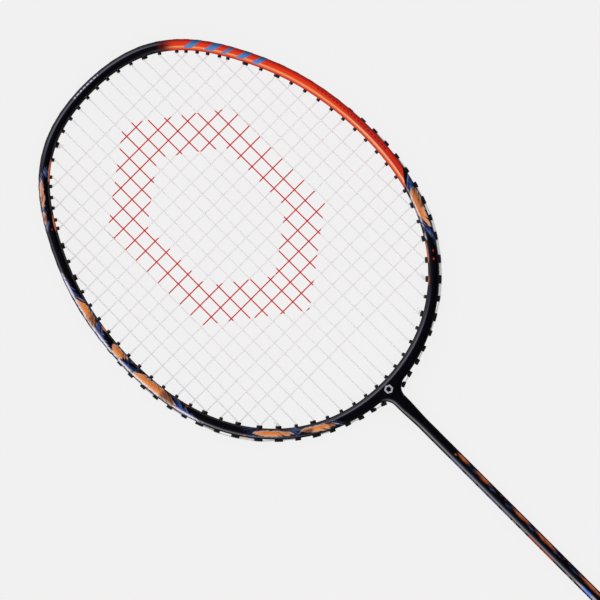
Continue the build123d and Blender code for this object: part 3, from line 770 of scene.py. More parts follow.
def frame_fields(mat):
    """Places on the hoop and the noises that break up the paint's edges."""
    hoop = SimpleNamespace(phi=mat.attr("phi"), across=mat.attr("w"))
    hoop.zone = rise(mat.attr("zone"), 0.6, 0.9)
    hoop.x, hoop.y, hoop.z = split(mat.coords())
    u, v = hoop.phi * PER_DEG, hoop.across * ACROSS  # mm along and across
    # stretched along a slant, as brushed marbling; it leans back past a patch's middle
    hoop.slant = join(u * 0.55 + v * 0.35, u * -0.9 + v * 1.6, hoop.z * 300.0)
    brushed = join(u * 0.16 + v * 0.10, u * -0.95 + v * 1.7, hoop.z * 200.0)
    brushed_back = join(u * 0.16 - v * 0.10, u * 0.95 + v * 1.5, hoop.z * 200.0)
    hairs = {"scale": 0.62, "detail": 5.0, "rough": 0.6, "distort": 0.5}
    hoop.soft = soft_noise(hoop.slant, scale=0.9)
    hoop.turn = mat.attr("turn")
    hoop.hair = mix(hoop.turn, noise(brushed, **hairs), noise(brushed_back, **hairs))
    hoop.wobble = hoop.soft - 0.5
    hoop.grain = fine_noise(hoop.slant, scale=2.6) - 0.5
    hoop.brush = hoop.hair - 0.5
    return hoop


def blue_feathers(mat, hoop, colour):
    phi, hair = hoop.phi, hoop.hair
    hoop.blue = mat.attr("blue") + (
        hoop.wobble * 1.2 + (hoop.grain * 0.6 + hoop.brush * 5.5))
    blue = mix(rise(hoop.soft + hair, 0.85, 1.2), srgb(12, 22, 54), srgb(46, 78, 144))
    blue = mix(rise(hair, 0.55, 0.66, top=0.7), blue, srgb(112, 124, 156))
    # painted highlight: the blue turns pale on the outer shoulder of the -X side, which faces
    # the light
    minus_x_side = band(phi, 143, 148, 214, 220)
    highlight_outer_edge = fall(hoop.across + hoop.brush * 0.5, 0.14, 0.42)
    blue = mix(minus_x_side * highlight_outer_edge * 0.75, blue, srgb(186, 192, 216))
    ends = larger(rise(phi, 216, 224), band(phi, 106, 110, 140, 146))
    thin = 1.0 - ends * (0.85 - rise(hair, 0.5, 0.6) * 0.6)
    return mix(rise(hoop.blue, -0.7, 1.0) * 0.94 * thin, colour, blue)


def orange_patches(mat, hoop, colour):
    """Pale and greyish where they feather out; across the hoop a painted highlight near the
    outer shoulder, and painted shade toward both edges, browner toward the inner edge.
    """
    phi, hair = hoop.phi, hoop.hair
    crown_minus_x = band(phi, 106, 110, 140, 146)
    calm = 1.0 - larger(rise(phi, 222, 228), crown_minus_x) * 0.6
    hoop.orange = mat.attr("orange") + (
        hoop.wobble * 0.8 + (hoop.grain * 0.6 + hoop.brush * calm * 6.0))
    # painted highlight near the outer shoulder and painted shade toward the edges
    across = tints(hoop.across + crown_minus_x * 0.3, ORANGE_ACROSS)
    orange = tints(rise(hoop.orange, -0.8, 2.0), ORANGE_FEATHER)
    orange = mix(rise(hoop.orange, 0.2, 1.6, bottom=0.2), orange, across)
    orange = mix(rise(hair, 0.52, 0.68) * 0.35, orange, srgb(242, 170, 104))
    orange = mix(fall(hair, 0.32, 0.46) * 0.5, orange, srgb(124, 62, 38))
    dark_end = rise(hoop.turn, 0.75, 1.0) * (
        fall(hair, 0.44, 0.52) * fall(mat.attr("orange"), 0.6, 2.2))
    orange = mix(dark_end * 0.8, orange, srgb(40, 26, 30))
    return mix(rise(hoop.orange, -0.6, 0.4), colour, orange)


def lit_shoulder(hoop, colour):
    """Painted highlight: a pale line along the shoulder of the light colours, where they face
    the light; and painted shade: their dark outer rim.
    """
    phi, across = hoop.phi, hoop.across
    minus_x = (rise(phi, 108, 116) * rise(phi, 134, 142, bottom=0.3) * fall(phi, 210, 222)
               * band(across, 0.08, 0.15, 0.2, 0.34))
    plus_x = band(phi, -50, -46, -29, -26) * band(across, 0.74, 0.82, 0.86, 0.94)
    light = larger(rise(hoop.orange, -1.0, 0.3), rise(hoop.blue, -0.9, 0.6) * 0.8)
    off_red = larger(fall(phi, -27, -25), rise(phi, 104, 108))
    streaked = rise(hoop.hair, 0.3, 0.6, bottom=0.45, top=0.85)
    # painted highlight: a pale line on the shoulders that face the light from -X
    line = (minus_x + plus_x) * (light * off_red) * streaked
    colour = mix(line, colour, srgb(232, 218, 220))
    # painted shade: a dark rim at the outer edge, where the light colours turn away
    shaded_rim = fall(across, 0.02, 0.09) * rise(larger(hoop.orange, hoop.blue), -1.0, 0.0)
    return mix(shaded_rim * 0.8, colour, srgb(30, 16, 14))


def veins_and_flecks(mat, hoop, colour):
    def vein(**pattern):
        return magnitude(noise(hoop.slant, **pattern) - 0.5)

    broad = mat.attr("marbled") * rise(mat.attr("orange"), -0.6, 0.4) * (
        0.3 + fall(hoop.hair, 0.46, 0.6) * 0.55)
    colour = mix(broad, colour, mix(hoop.soft, srgb(84, 46, 34), srgb(132, 82, 58)))
    dark = fall(vein(scale=1.7, detail=5.0, rough=0.7, distort=2.2), 0.01, 0.09)
    dark = dark * mat.attr("marbled") * rise(mat.attr("orange"), -0.8, 0.2)
    colour = mix(dark * 0.85, colour, srgb(48, 28, 26))
    thin = fall(vein(scale=1.1, detail=6.0, rough=0.75, distort=1.5), 0.0, 0.03)
    thin = thin * rise(hoop.orange, 0.1, 0.6)
    colour = mix(thin * 0.5, colour, srgb(104, 56, 42))
    streak = rise(mat.attr("streak") + hoop.grain * 0.5, -0.25, 0.2)
    colour = mix(streak * 0.85, colour, srgb(214, 110, 58))
    fleck = rise(mat.attr("fleck") + hoop.grain * 0.9, -0.2, 0.25)
    return mix(fleck * 0.9, colour, srgb(186, 44, 30))


def dashes(hoop, per_degree, start, full, across):
    """A row of thin dashes at one place across the hoop."""
    dash = fraction(hoop.phi * per_degree)
    return rise(dash, start, full) * fall(magnitude(hoop.across - across), 0.045, 0.07)


def red_side(mat, hoop, colour):
    """Orange-red +X side, ending short of the crown, with painted shade where it turns to the
    outside and a painted highlight line toward the inner edge.
    """
    phi, across = hoop.phi, hoop.across
    distance = mat.attr("red")
    # painted shade and a painted highlight line across the hoop, from the two ramps
    red = tints(across, RED_ACROSS)
    red = mix(fall(phi, -6, 10) * 0.85, red, tints(across, RED_ACROSS_LOW))
    red = mix(noise(mat.coords(), scale=220, detail=3) * 0.05, red, srgb(240, 96, 44))
    red = mix(rise(phi + hoop.grain * 0.8, 62.5, 66.5), red, srgb(80, 10, 10))
    bar = mix(rise(across + hoop.soft * 0.3, 0.05, 0.85), srgb(38, 66, 108),
              srgb(80, 128, 188))
    worn = rise(noise(hoop.slant, scale=1.6) * 1.0 + across, 0.28, 0.5)
    red = mix(rise(mat.attr("bars"), -0.12, 0.12) * worn, red, bar)
    dash = dashes(hoop, per_degree=0.62, start=0.28, full=0.33, across=0.33)
    dash = dash * band(phi, -16, -15.5, 16.5, 17.0)
    red = mix(dash * 0.75, red, srgb(80, 14, 12))
    ragged = rise((66.8 - phi) - hoop.grain * 1.4, -1.6, 0.9)
    body = rise(distance, -0.08, 0.12) * 1.0
    end = rise(phi, 55, 56) * (ragged * fall(phi, 72, 73))
    hoop.red_mask = larger(body * larger(fall(phi, 60, 60.5), ragged), end)
    return mix(hoop.red_mask * hoop.zone, colour, red)


def small_marks(mat, hoop, colour):
    """Dagger at the red side's low end, dashes at the crown, hexagon ring on the throat."""
    colour = mix(rise(mat.attr("dagger"), -0.1, 0.15), colour, srgb(8, 7, 10))
    dash = dashes(hoop, per_degree=0.78, start=0.3, full=0.36, across=0.27)
    dash = dash * hoop.zone * band(hoop.phi, 85.4, 85.6, 94.6, 94.8)
    colour = mix(dash * 0.8, colour, srgb(190, 194, 208))
    x = magnitude(hoop.x * 1000.0)
    y = magnitude(hoop.y * 1000.0 - 420.9)
    size = larger(x * 0.5 + y * 0.866, x)
    ring = fall(size, 2.3, 2.45) * rise(size, 1.35, 1.5)
    ring = ring * rise(magnitude(hoop.z), 0.0045, 0.0047)
    return mix(ring * 0.85, colour, srgb(176, 176, 186))


def scuffs(mat):
    return noise(mat.coords(), scale=3200, detail=3, rough=0.6)


def orange_peel(mat):
    return bump(noise(mat.coords(), scale=260, detail=2), strength=0.03)


def frame_paint():
    mat = Material("frame_paint")
    hoop = frame_fields(mat)
    colour = blue_feathers(mat, hoop, near_black(mat))
    colour = orange_patches(mat, hoop, colour)
    colour = lit_shoulder(hoop, colour)
    colour = veins_and_flecks(mat, hoop, colour)
    colour = red_side(mat, hoop, colour)
    colour = small_marks(mat, hoop, colour)
    scuff = scuffs(mat)
    less_on_red = 1.0 - hoop.red_mask * hoop.zone * 0.7
    return mat.finish(
        Base_Color=colour, Roughness=0.34 + rise(scuff, 0.55, 0.75) * 0.06,
        Specular_IOR_Level=0.12,
        Coat_Weight=less_on_red * rise(mat.square_on(), 0.12, 0.5, bottom=0.2),
        Coat_Roughness=0.05 + scuff * 0.03, Coat_Normal=orange_peel(mat))


# ---- shaft ----------------------------------------------------------------------------------
# upper and lower y of each mark
SHAFT_ORANGE = [(364.5, 356.5), (350.2, 338.2), (318.8, 305.8), (300.3, 283.2), (263.8, 243.8)]
SHAFT_BLUE = [(354.5, 349.8), (337.5, 333.8), (323.5, 319.5), (305.2, 301.8), (283.2, 278.8),
              (269.8, 263.8)]
SHAFT_FLECK = [  # y, x
    (365.5, .7), (329.5, 2.5), (325.5, 2.5), (276.5, 2.5), (272.5, 2.5)]
GREY_LINES = [(314.5, 311.2), (307.5, 303.4), (269.4, 266.6), (264.6, 262.4)]
RED_LINES = [(301.0, 291.3), (289.7, 280.0)]
BLUE_LINES = [(366, 356), (353, 345), (343, 336), (334, 326), (323, 316)]


def shaft_mesh():
    bore, spigot = SHAFT_BORE / 2, SPIGOT_D / 2
    heights = [SHAFT_Y0 + 0.2, *np.arange(112, 390, 2.0), NECK_Y0 - 0.5]
    profile = [(bore, SHAFT_Y0), (SHAFT_R - 0.15, SHAFT_Y0)]
    profile += [(SHAFT_R, y) for y in heights]
    profile += [
        (SHAFT_R, NECK_Y0), (spigot, NECK_Y0), (spigot, SPIGOT_TOP - 0.3),
        (spigot - 0.2, SPIGOT_TOP - 0.05), (bore, SPIGOT_TOP - 0.05)]
    return lathe("shaft_lacquered", profile, segments=96, sharp=35)


def lens_distance(y, side, spans, centre, half, slope):
    """Long pointed patches, positive inside; centre and half are arc lengths in mm."""
    total = None
    shifted = y + (side - centre) * slope
    off = magnitude(side - centre)
    for upper, lower in spans:
        along = squared((shifted - (upper + lower) / 2) * (2.0 / (upper - lower)))
        distance = (1.0 - along) * half - off
        total = distance if total is None else larger(total, distance)
    return total


def stripes(y, spans):
    total = None
    for upper, lower in spans:
        distance = smaller(upper - y, y - lower)
        total = distance if total is None else larger(total, distance)
    return rise(total, -0.15, 0.15)


def widened(spans, extra):
    return [(upper + extra, lower - extra) for upper, lower in spans]


def shaft_patches(y, v, side, colour):
    """Blue and orange lenses and flecks on the +X side; also returns the fibre strands."""
    slant = join(y * 0.5 + v * 0.3, y * -0.55 + v * 1.3)
    wobble = soft_noise(slant, scale=0.8) - 0.5
    grain = fine_noise(slant, scale=2.4) - 0.5
    fibre = noise(join(y * 0.14, v * 1.0), scale=1.1, detail=5.0, rough=0.6, distort=0.3)
    strand = fibre - 0.5
    blue = lens_distance(y, side, widened(SHAFT_BLUE, 2.5), centre=4.1, half=0.7, slope=-0.8)
    blue = blue + (wobble * 0.5 + strand * 2.4)
    tint = mix(rise(fibre, 0.45, 0.62), srgb(14, 30, 76), srgb(58, 70, 104))
    colour = mix(rise(blue, -0.25, 0.6) * 0.75, colour, tint)
    orange = lens_distance(
        y, side, widened(SHAFT_ORANGE, 2.0), centre=3.1, half=1.5, slope=0.3)
    orange = orange + (wobble * 0.7 + (grain * 0.4 + strand * 3.0))
    tint = tints(rise(orange, -0.4, 1.5), [
        (0.0, 36, 24, 30), (0.22, 76, 46, 42), (0.42, 112, 54, 36), (0.7, 164, 80, 40),
        (1.0, 208, 108, 50)])
    tint = mix(fall(fibre, 0.4, 0.5) * 0.5, tint, srgb(92, 36, 26))
    # painted shade: the orange darkens where the shaft faces +X, away from the light
    tint = mix(fall(side, 1.2, 2.6) * 0.6, tint, srgb(78, 34, 24))
    colour = mix(rise(orange, -0.4, 0.1), colour, tint)
    vein = magnitude(noise(slant, scale=1.5, detail=5.0, rough=0.7, distort=2.0) - 0.5)
    vein = fall(vein, 0.0, 0.05) * rise(orange, 0.0, 0.3)
    colour = mix(vein * 0.6, colour, srgb(58, 32, 28))
    for fleck_y, fleck_x in SHAFT_FLECK:
        arc = SHAFT_R * math.acos(min(1.0, fleck_x / SHAFT_R))
        distance = root(squared((y - fleck_y) * 0.55) + squared(side - arc))
        tint = srgb(150, 66, 36) if fleck_y > 360 else srgb(104, 30, 22)
        colour = mix(fall(distance + grain * 0.8, 0.3, 0.65) * 0.85, colour, tint)
    return colour, strand


def shaft_lines(y, side, strand, colour):
    """A soft blue-to-grey patch and thin lines along the -X side."""
    line = rise(side, 8.75, 8.95)
    pale_patch = 1.0 - (squared((y - 250.0) * (1 / 13.0)) + squared((side - 7.7) * (1 / 1.3)))
    pale_patch = pale_patch + strand * 1.6
    tint = mix(rise(magnitude(y - 253.0), 2.0, 5.0), srgb(44, 96, 196), srgb(140, 140, 152))
    colour = mix(rise(pale_patch, -0.1, 0.6) * 0.8, colour, tint)
    colour = mix(line * stripes(y, GREY_LINES) * 0.7, colour, srgb(128, 128, 136))
    colour = mix(line * stripes(y, RED_LINES), colour, srgb(190, 36, 26))
    return mix(line * stripes(y, BLUE_LINES) * 0.85, colour, srgb(84, 98, 150))


def shaft_paint():
    mat = Material("shaft_paint")
    x, y, z = (part * 1000.0 for part in split(mat.coords()))
    v = polar(z, x) * SHAFT_R  # arc length from the +X line
    side = magnitude(v)
    colour, strand = shaft_patches(y, v, side, near_black(mat))
    colour = shaft_lines(y, side, strand, colour)
    scuff = scuffs(mat)
    return mat.finish(
        Base_Color=colour, Roughness=0.34 + scuff * 0.06, Specular_IOR_Level=0.12,
        Coat_Weight=rise(mat.square_on(), 0.2, 0.6, bottom=0.2), Coat_IOR=1.58,
        Coat_Roughness=0.05 + scuff * 0.03, Coat_Normal=orange_peel(mat))


# ---- bushes ---------------------------------------------------------------------------------
class Seat:
    """A bush's place: its base on the hoop's inner edge and its seat in the outer groove."""

    def __init__(self, number, side):
        x, y = BUSH_XY[number]
        angle = math.atan2(y - HEAD_CENTRE_Y, x)
        base = inner_xy(angle)
        if number in BUSH_EXIT:
            leave = np.array(BUSH_EXIT[number])
            reach = float(np.linalg.norm(leave - base))
            out = (leave - base) / reach
        else:
            out = outward(angle)
            reach = float(hoop_width(angle))
        mirror = 1.0 if side == "R" else -1.0  # R is the +X side
        self.number = number
        self.side = side
        self.wide = number in TIE_OFF or number in SHARED
        self.reach = reach - float(groove_depth(angle))
        self.base = np.array([mirror * base[0], base[1]])
        self.out = np.array([mirror * out[0], out[1]])
        self.crownwards = np.array([mirror * -out[1], out[0]])
        self.seat = self.base + self.out * self.reach

    def at(self, outwards, lane=0.0, z=0.0):
        """A point over the seat; lane is the shift towards the crown."""
        return np.array([*(self.seat + self.out * outwards + self.crownwards * lane), z])

    def tip(self, lane=0.0, z=0.0, beyond=0.5):
        """A point off the bush's inner tip."""
        point = self.base - self.out * (BUSH_TIP + beyond) + self.crownwards * lane
        return np.array([*point, z])

    def lay(self, local):
        """Local (lane, z, outwards) points to the racket's frame."""
        xy = self.seat + np.outer(local[:, 2], self.out) + np.outer(local[:, 0], self.crownwards)
        return np.column_stack([xy, local[:, 1]])


SEATS = {(n, side): Seat(n, side) for n in BUSH_XY for side in "RL"}
BARREL_SEGMENTS = 28
# flange stations along the hoop: distance in from an end, size
FLANGE_ENDS = [(0.0, 0.80), (0.05, 0.90), (0.16, 0.965), (0.36, 1.0)]


def stadium(length, diameter, segments):
    """Outline of a slot, or of a circle when length equals diameter."""
    angle = np.linspace(0, TURN, segments, endpoint=False)
    half = (length - diameter) / 2
    cosine = np.cos(angle)
    return np.column_stack([
        diameter / 2 * cosine + np.sign(np.round(cosine, 9)) * half,
        diameter / 2 * np.sin(angle)])


def barrel(seat):
    """Vertices and faces of the tube through the hoop, with a bore and a rounded tip."""
    length = BUSH_SLOT if seat.wide else BUSH_D
    outer = np.array((length, BUSH_D))
    bore = np.array((BUSH_SLOT - BUSH_D + BUSH_BORE if seat.wide else BUSH_BORE, BUSH_BORE))
    low, high = -(seat.reach + BUSH_TIP), 0.3
    loops = [  # length and diameter, place outwards
        (bore, high), (outer, high), (outer, low + 1.3), (outer, low + 0.45),
        (outer - 0.10, low + 0.18), (outer - 0.26, low + 0.03), (outer - 0.42, low),
        (bore + 0.14, low), (bore, low + 0.12),
    ]
    verts = [
        np.column_stack([stadium(*size, BARREL_SEGMENTS), np.full(BARREL_SEGMENTS, outwards)])
        for size, outwards in loops]
    faces = grid_faces(len(loops), BARREL_SEGMENTS, close_rows=True, close_columns=True)
    return np.concatenate(verts), faces


def flange_section(channel):
    """U section of the flange, (z, outwards) points all round."""
    top, base, half, corner = FLANGE_H, FLANGE_BASE, FLANGE_HALF, 0.3
    right = [
        (0.0, base), (channel - 0.12, base), (channel - 0.03, base + 0.04),
        (channel, base + 0.14), (channel, top - 0.14), (channel + 0.05, top - 0.03),
        (channel + 0.16, top)]
    right += [
        (half - corner + corner * math.sin(k), top - corner + corner * math.cos(k))
        for k in np.linspace(0, math.pi / 2, 5)]
    right += [(half, 0.35), (half - 0.04, 0.1), (half - 0.14, 0.02), (0.0, 0.02)]
    return np.array(right + [(-z, outwards) for z, outwards in right[-2:0:-1]])


def flange(seat, start):
    """Vertices and faces of the flange with its string channel, both ends rounded."""
    half = (FLANGE_L_WIDE if seat.wide else FLANGE_L) / 2
    channel = LAYER_Z + STRING_R + 0.06
    section = flange_section(channel)
    stations = [(inset - half, size) for inset, size in FLANGE_ENDS]
    stations += [(half - inset, size) for inset, size in FLANGE_ENDS[::-1]]
    z, outwards = section.T
    verts = []
    for lane, size in stations:
        # pull only the outer skin in, the channel stays open
        cut = 1 - size
        skin = np.sign(z) * (channel + (np.abs(z) - channel) * (1 - cut * 1.1))
        new_z = np.where(np.abs(z) > channel + 0.05, skin, z)
        lowered = 1.2 + (outwards - 1.2) * (1 - cut * 1.6)
        new_out = np.where(outwards > 1.2, lowered, outwards)
        new_out = np.where(outwards < 0.3, outwards + cut * 0.4, new_out)
        verts.append(np.column_stack([np.full(len(section), lane), new_z, new_out]))
    return np.concatenate(verts), capped_faces(len(stations), len(section), start)


def bush_group(name, numbers, node):
    verts, faces, tint = [], [], []
    count = 0
    for number in numbers:
        for side in "RL":
            seat = SEATS[(number, side)]
            tube_verts, bush_faces = barrel(seat)
            flange_verts, flange_faces = flange(seat, len(tube_verts))
            bush = seat.lay(np.concatenate([tube_verts, flange_verts]))
            verts.append(bush)
            faces += [[i + count for i in face] for face in bush_faces + flange_faces]
            shade = (number * 7 % 11) / 11 + (0.03 if side == "L" else 0)
            tint.append(np.full(len(bush), shade))
            count += len(bush)
    ob = make(name, np.concatenate(verts), faces, {"tint": np.concatenate(tint)},
              recalc=True, sharp=50)
    place(ob, node)
    return ob


def bush_plastic():
    mat = Material("bush_plastic")
    grain = noise(mat.coords(), scale=4200, rough=0.6)
    wear = noise(mat.coords(), scale=900, detail=3)
    colour = mix(rise(wear, 0.5, 0.8) * 0.5, srgb(13, 12, 15), srgb(30, 29, 33))
    colour = mix(mat.attr("tint") * 0.25, colour, srgb(20, 19, 24))
    return mat.finish(
        Base_Color=colour, Roughness=0.36 + grain * 0.14, Specular_IOR_Level=0.45,
        Normal=bump(grain, strength=0.12, distance=0.00004), Coat_Weight=0.15,
        Coat_Roughness=0.2)


# ---- strings --------------------------------------------------------------------------------
TUBE_SIDES = 10
TAIL_SIDE = {6: -1, 8: -1, 34: 1}  # side of a tie-off bush its main takes, 1 is crownwards


def lane_of(seat, kind):
    """Shift of a "main", "cross" or "tail" string in a slotted bush."""
    if not seat.wide:
        return 0.0
    if seat.number in TIE_OFF:
        towards = TAIL_SIDE[seat.number]
        return LANE * (towards if kind == "main" else -towards)
    if kind == "main":
        run = np.array([0, 1 if seat.base[1] < HEAD_CENTRE_Y else -1])
    else:
        run = np.array([-1 if seat.side == "R" else 1, 0])
    return LANE if run @ seat.crownwards > 0 else -LANE


def over_seat(seat, kind, z):
    return seat.at(LEVEL_1, lane_of(seat, kind), z)


def tail(seat, z, inwards):
    """A string's end through a tie-off bush."""
    points = [over_seat(seat, "tail", z), seat.tip(lane_of(seat, "tail"), z)]
    return points if inwards else points[::-1]


def over(numbers, side, z, level=LEVEL_1):
    """A run along the outer groove over several bushes."""
    return [SEATS[(n, side)].at(level, 0.0, z) for n in numbers]


def plan_span(first, last, kind):
    """Plan points at the two tips of a straight run inside the head."""
    return tuple(seat.tip(lane_of(seat, kind))[:2] for seat in (first, last))


# mains in order from -X to +X, by side and place from the axis
MAIN_KEYS = [("L", i) for i in range(10, -1, -1)] + [("R", i) for i in range(11)]
MAINS = [plan_span(SEATS[(MAIN_LOW[i], side)], SEATS[(MAIN_TOP[i], side)], "main")
         for side, i in MAIN_KEYS]
CROSSES = [plan_span(SEATS[(n, "L")], SEATS[(n, "R")], "cross") for n in CROSS]


def cross_2d(first, second):
    return first[0] * second[1] - first[1] * second[0]


def crossing(span, other):
    """Share along the span where it meets the other, or None."""
    along, across = span[1] - span[0], other[1] - other[0]
    offset = other[0] - span[0]
    determinant = cross_2d(along, across)
    if abs(determinant) < 1e-9:
        return None
    share = cross_2d(offset, across) / determinant
    other_share = cross_2d(offset, along) / determinant
    return share if 0.001 < share < 0.999 and 0.001 < other_share < 0.999 else None


def woven(index, span, others, z_end, height):
    """A run from end to end of the span, over and under the others in turn."""
    start, end = span
    length = float(np.linalg.norm(end - start))
    hits = []
    for k, other in enumerate(others):
        share = crossing(span, other)
        if share is not None:
            hits.append((share, height if (index + k) % 2 == 0 else -height))
    keys = [(0.0, z_end)] + sorted(hits) + [(1.0, z_end)]
    points = []
    for (share_0, z_0), (share_1, z_1) in zip(keys[:-1], keys[1:]):
        steps = max(2, int(round((share_1 - share_0) * length / 1.05)))
        for k in range(steps):
            part = k / steps
            share = share_0 + (share_1 - share_0) * part
            z = z_0 + (z_1 - z_0) * (0.5 - 0.5 * math.cos(math.pi * part))
            points.append(np.array([*(start + (end - start) * share), z]))
    points.append(np.array([*end, z_end]))
    return points


def rounded(points):
    """Replaces each corner of a polyline by an arc-like curve."""
    curve = [points[0]]
    for before, point, after in zip(points[:-2], points[1:-1], points[2:]):
        back, ahead = before - point, after - point
        back_length, ahead_length = np.linalg.norm(back), np.linalg.norm(ahead)
        if back_length < 1e-6 or ahead_length < 1e-6:
            continue
        cosine = float(np.clip((back @ ahead) / (back_length * ahead_length), -1, 1))
        turn = math.pi - math.acos(cosine)
        if turn < math.radians(4):
            curve.append(point)
            continue
        cut = min(BEND * math.tan(turn / 2), 0.48 * back_length, 0.48 * ahead_length)
        start = point + back / back_length * cut
        end = point + ahead / ahead_length * cut
        steps = max(3, int(math.ceil(turn / math.radians(14))))
        for i in range(steps + 1):
            t = i / steps
            curve.append((1 - t) ** 2 * start + 2 * t * (1 - t) * point + t * t * end)
    curve.append(points[-1])
    return curve


def half_mains(side):
    """The mains of one side, from the outermost to the axis."""
    points, up = [], True
    for i in range(10, -1, -1):
        first, last = SEATS[(MAIN_LOW[i], side)], SEATS[(MAIN_TOP[i], side)]
        column = MAIN_KEYS.index((side, i))
        run = woven(column, MAINS[column], CROSSES, LAYER_Z, WEAVE_Z)
        if not up:
            first, last = last, first
            run = run[::-1]
        points += [over_seat(first, "main", LAYER_Z), *run, over_seat(last, "main", LAYER_Z)]
        if up and i > 0 and MAIN_TOP[i - 1] - MAIN_TOP[i] > 1:
            points += over(range(MAIN_TOP[i] + 1, MAIN_TOP[i - 1]), side, LAYER_Z)
        up = not up
    return points


def main_points():
    start = tail(SEATS[(6, "R")], LAYER_Z, inwards=False)
    start += over(range(7, 12), "R", LAYER_Z, LEVEL_2)
    end = over(range(11, 8, -1), "L", LAYER_Z, LEVEL_2)
    end += tail(SEATS[(8, "L")], LAYER_Z, inwards=True)
    return start + half_mains("R") + half_mains("L")[::-1] + end


def cross_points():
    z = -LAYER_Z
    points = tail(SEATS[(34, "L")], z, inwards=False) + over((33, 32), "L", z)
    for j, number in enumerate(CROSS):
        first, last = ("L", "R") if j % 2 == 0 else ("R", "L")
        run = woven(j, CROSSES[j], MAINS, z, -WEAVE_Z)
        if first == "R":
            run = run[::-1]
        points += [over_seat(SEATS[(number, first)], "cross", z), *run,
                   over_seat(SEATS[(number, last)], "cross", z)]
        if j + 1 < len(CROSS) and number - CROSS[j + 1] > 1:
            points += over(range(number - 1, CROSS[j + 1], -1), last, z)
    return points + tail(SEATS[(8, "R")], z, inwards=True)


def tube(points):
    """Jacketed string along points: vertices, faces, length along, angle round."""
    path = np.array(points, float)
    moved = np.linalg.norm(np.diff(path, axis=0), axis=1) > 1e-4
    path = path[np.concatenate([[True], moved])]
    tangent = np.zeros_like(path)
    tangent[1:-1] = path[2:] - path[:-2]
    tangent[0], tangent[-1] = path[1] - path[0], path[-1] - path[-2]
    tangent /= np.linalg.norm(tangent, axis=1, keepdims=True)
    # the side vector stays horizontal: the paths lie nearly flat
    side = np.stack([-tangent[:, 1], tangent[:, 0], np.zeros(len(path))], 1)
    side /= np.maximum(np.linalg.norm(side, axis=1, keepdims=True), 1e-9)
    up = np.cross(side, tangent)
    angle = np.linspace(0, TURN, TUBE_SIDES, endpoint=False)
    ring = side[:, None] * np.cos(angle)[:, None] + up[:, None] * np.sin(angle)[:, None]
    verts = path[:, None] + STRING_OUT * ring
    steps = np.linalg.norm(np.diff(path, axis=0), axis=1)
    length = np.concatenate([[0], np.cumsum(steps)])
    return (verts.reshape(-1, 3), capped_faces(len(path), TUBE_SIDES),
            np.repeat(length, TUBE_SIDES), np.tile(angle, len(path)))


def knot(seat, z, radius):
    """A small tight double-turn knot at a bush's tip, with a short tail."""
    centre = seat.tip(lane_of(seat, "tail"), z, radius * 0.9)
    out, lane = np.array([*seat.out, 0.0]), np.array([*seat.crownwards, 0.0])
    up = np.array([0, 0, 1.0])
    points = []
    for k in np.linspace(0, 1, 60):
        angle = k * 2 * math.pi * 2.0
        reach = radius * (0.62 + 0.12 * math.cos(3 * angle / 2))
        points.append(centre + lane * reach * math.cos(angle)
                      + up * reach * math.sin(angle) * 0.95 - out * (k - 0.5) * radius * 1.5)
    end = points[-1]
    for k in np.linspace(0.1, 1, 8):
        points.append(end + (lane * 0.7 - out * 0.55) * 2.2 * k + up * 0.15 * k)
    return points


def knot_tube(points):
    """Bare string along a knot, its frame carried along without twisting."""
    path = np.array(points, float)
    tangents = np.gradient(path, axis=0)
    tangents /= np.linalg.norm(tangents, axis=1, keepdims=True)
    normal = np.cross(tangents[0], [0.3, 0.2, 1.0])
    normal /= np.linalg.norm(normal)
    angle = np.linspace(0, TURN, TUBE_SIDES, endpoint=False)
    rings = []
    for point, tangent in zip(path, tangents):
        normal = normal - tangent * (normal @ tangent)
        normal /= np.linalg.norm(normal)
        side = np.cross(tangent, normal)
        ring = np.outer(np.cos(angle), normal) + np.outer(np.sin(angle), side)
        rings.append(point + STRING_R * ring)
    return (np.concatenate(rings), capped_faces(len(path), TUBE_SIDES),
            np.repeat(np.arange(len(path)) * 0.2, TUBE_SIDES), np.tile(angle, len(path)))


# six-sided ring inked on the string bed: centre y, stretch along Y, corner radii
STENCIL_Y, STENCIL_STRETCH, STENCIL_OUTER, STENCIL_INNER = 565.0, 1.3, 60.0, 38.0


def stencil_distance(x, y):
    """Signed distance inside the inked ring, whose corners point along Y."""
    x = np.abs(x)
    y = np.abs(STENCIL_Y + (y - STENCIL_Y) / STENCIL_STRETCH - STENCIL_Y)
    size = np.maximum(x, x * 0.5 + y * 0.8660254)
    return np.minimum(STENCIL_OUTER * 0.8660254 - size, -(STENCIL_INNER * 0.8660254 - size))


def string_object(name, points, knots, node):
    parts = [tube(rounded(points))] + [knot_tube(path) for path in knots]
    faces, count = [], 0
    for part_verts, part_faces, _, _ in parts:
        faces += [[i + count for i in face] for face in part_faces]
        count += len(part_verts)
    verts, lengths, angles = (np.concatenate([part[k] for part in parts]) for k in (0, 2, 3))
    x, y = verts[:, 0], verts[:, 1]
    angle = np.arctan2(y - HEAD_CENTRE_Y, x)
    reach = np.hypot(x, y - HEAD_CENTRE_Y) - head_radius(angle)
    ob = make(name, verts, faces, {
        "outside": smooth((reach - 3.0) / 2.0), "su": lengths, "sa": angles,
        "ink": np.clip(stencil_distance(x, y), -3, 3)})
    place(ob, node)
    return ob


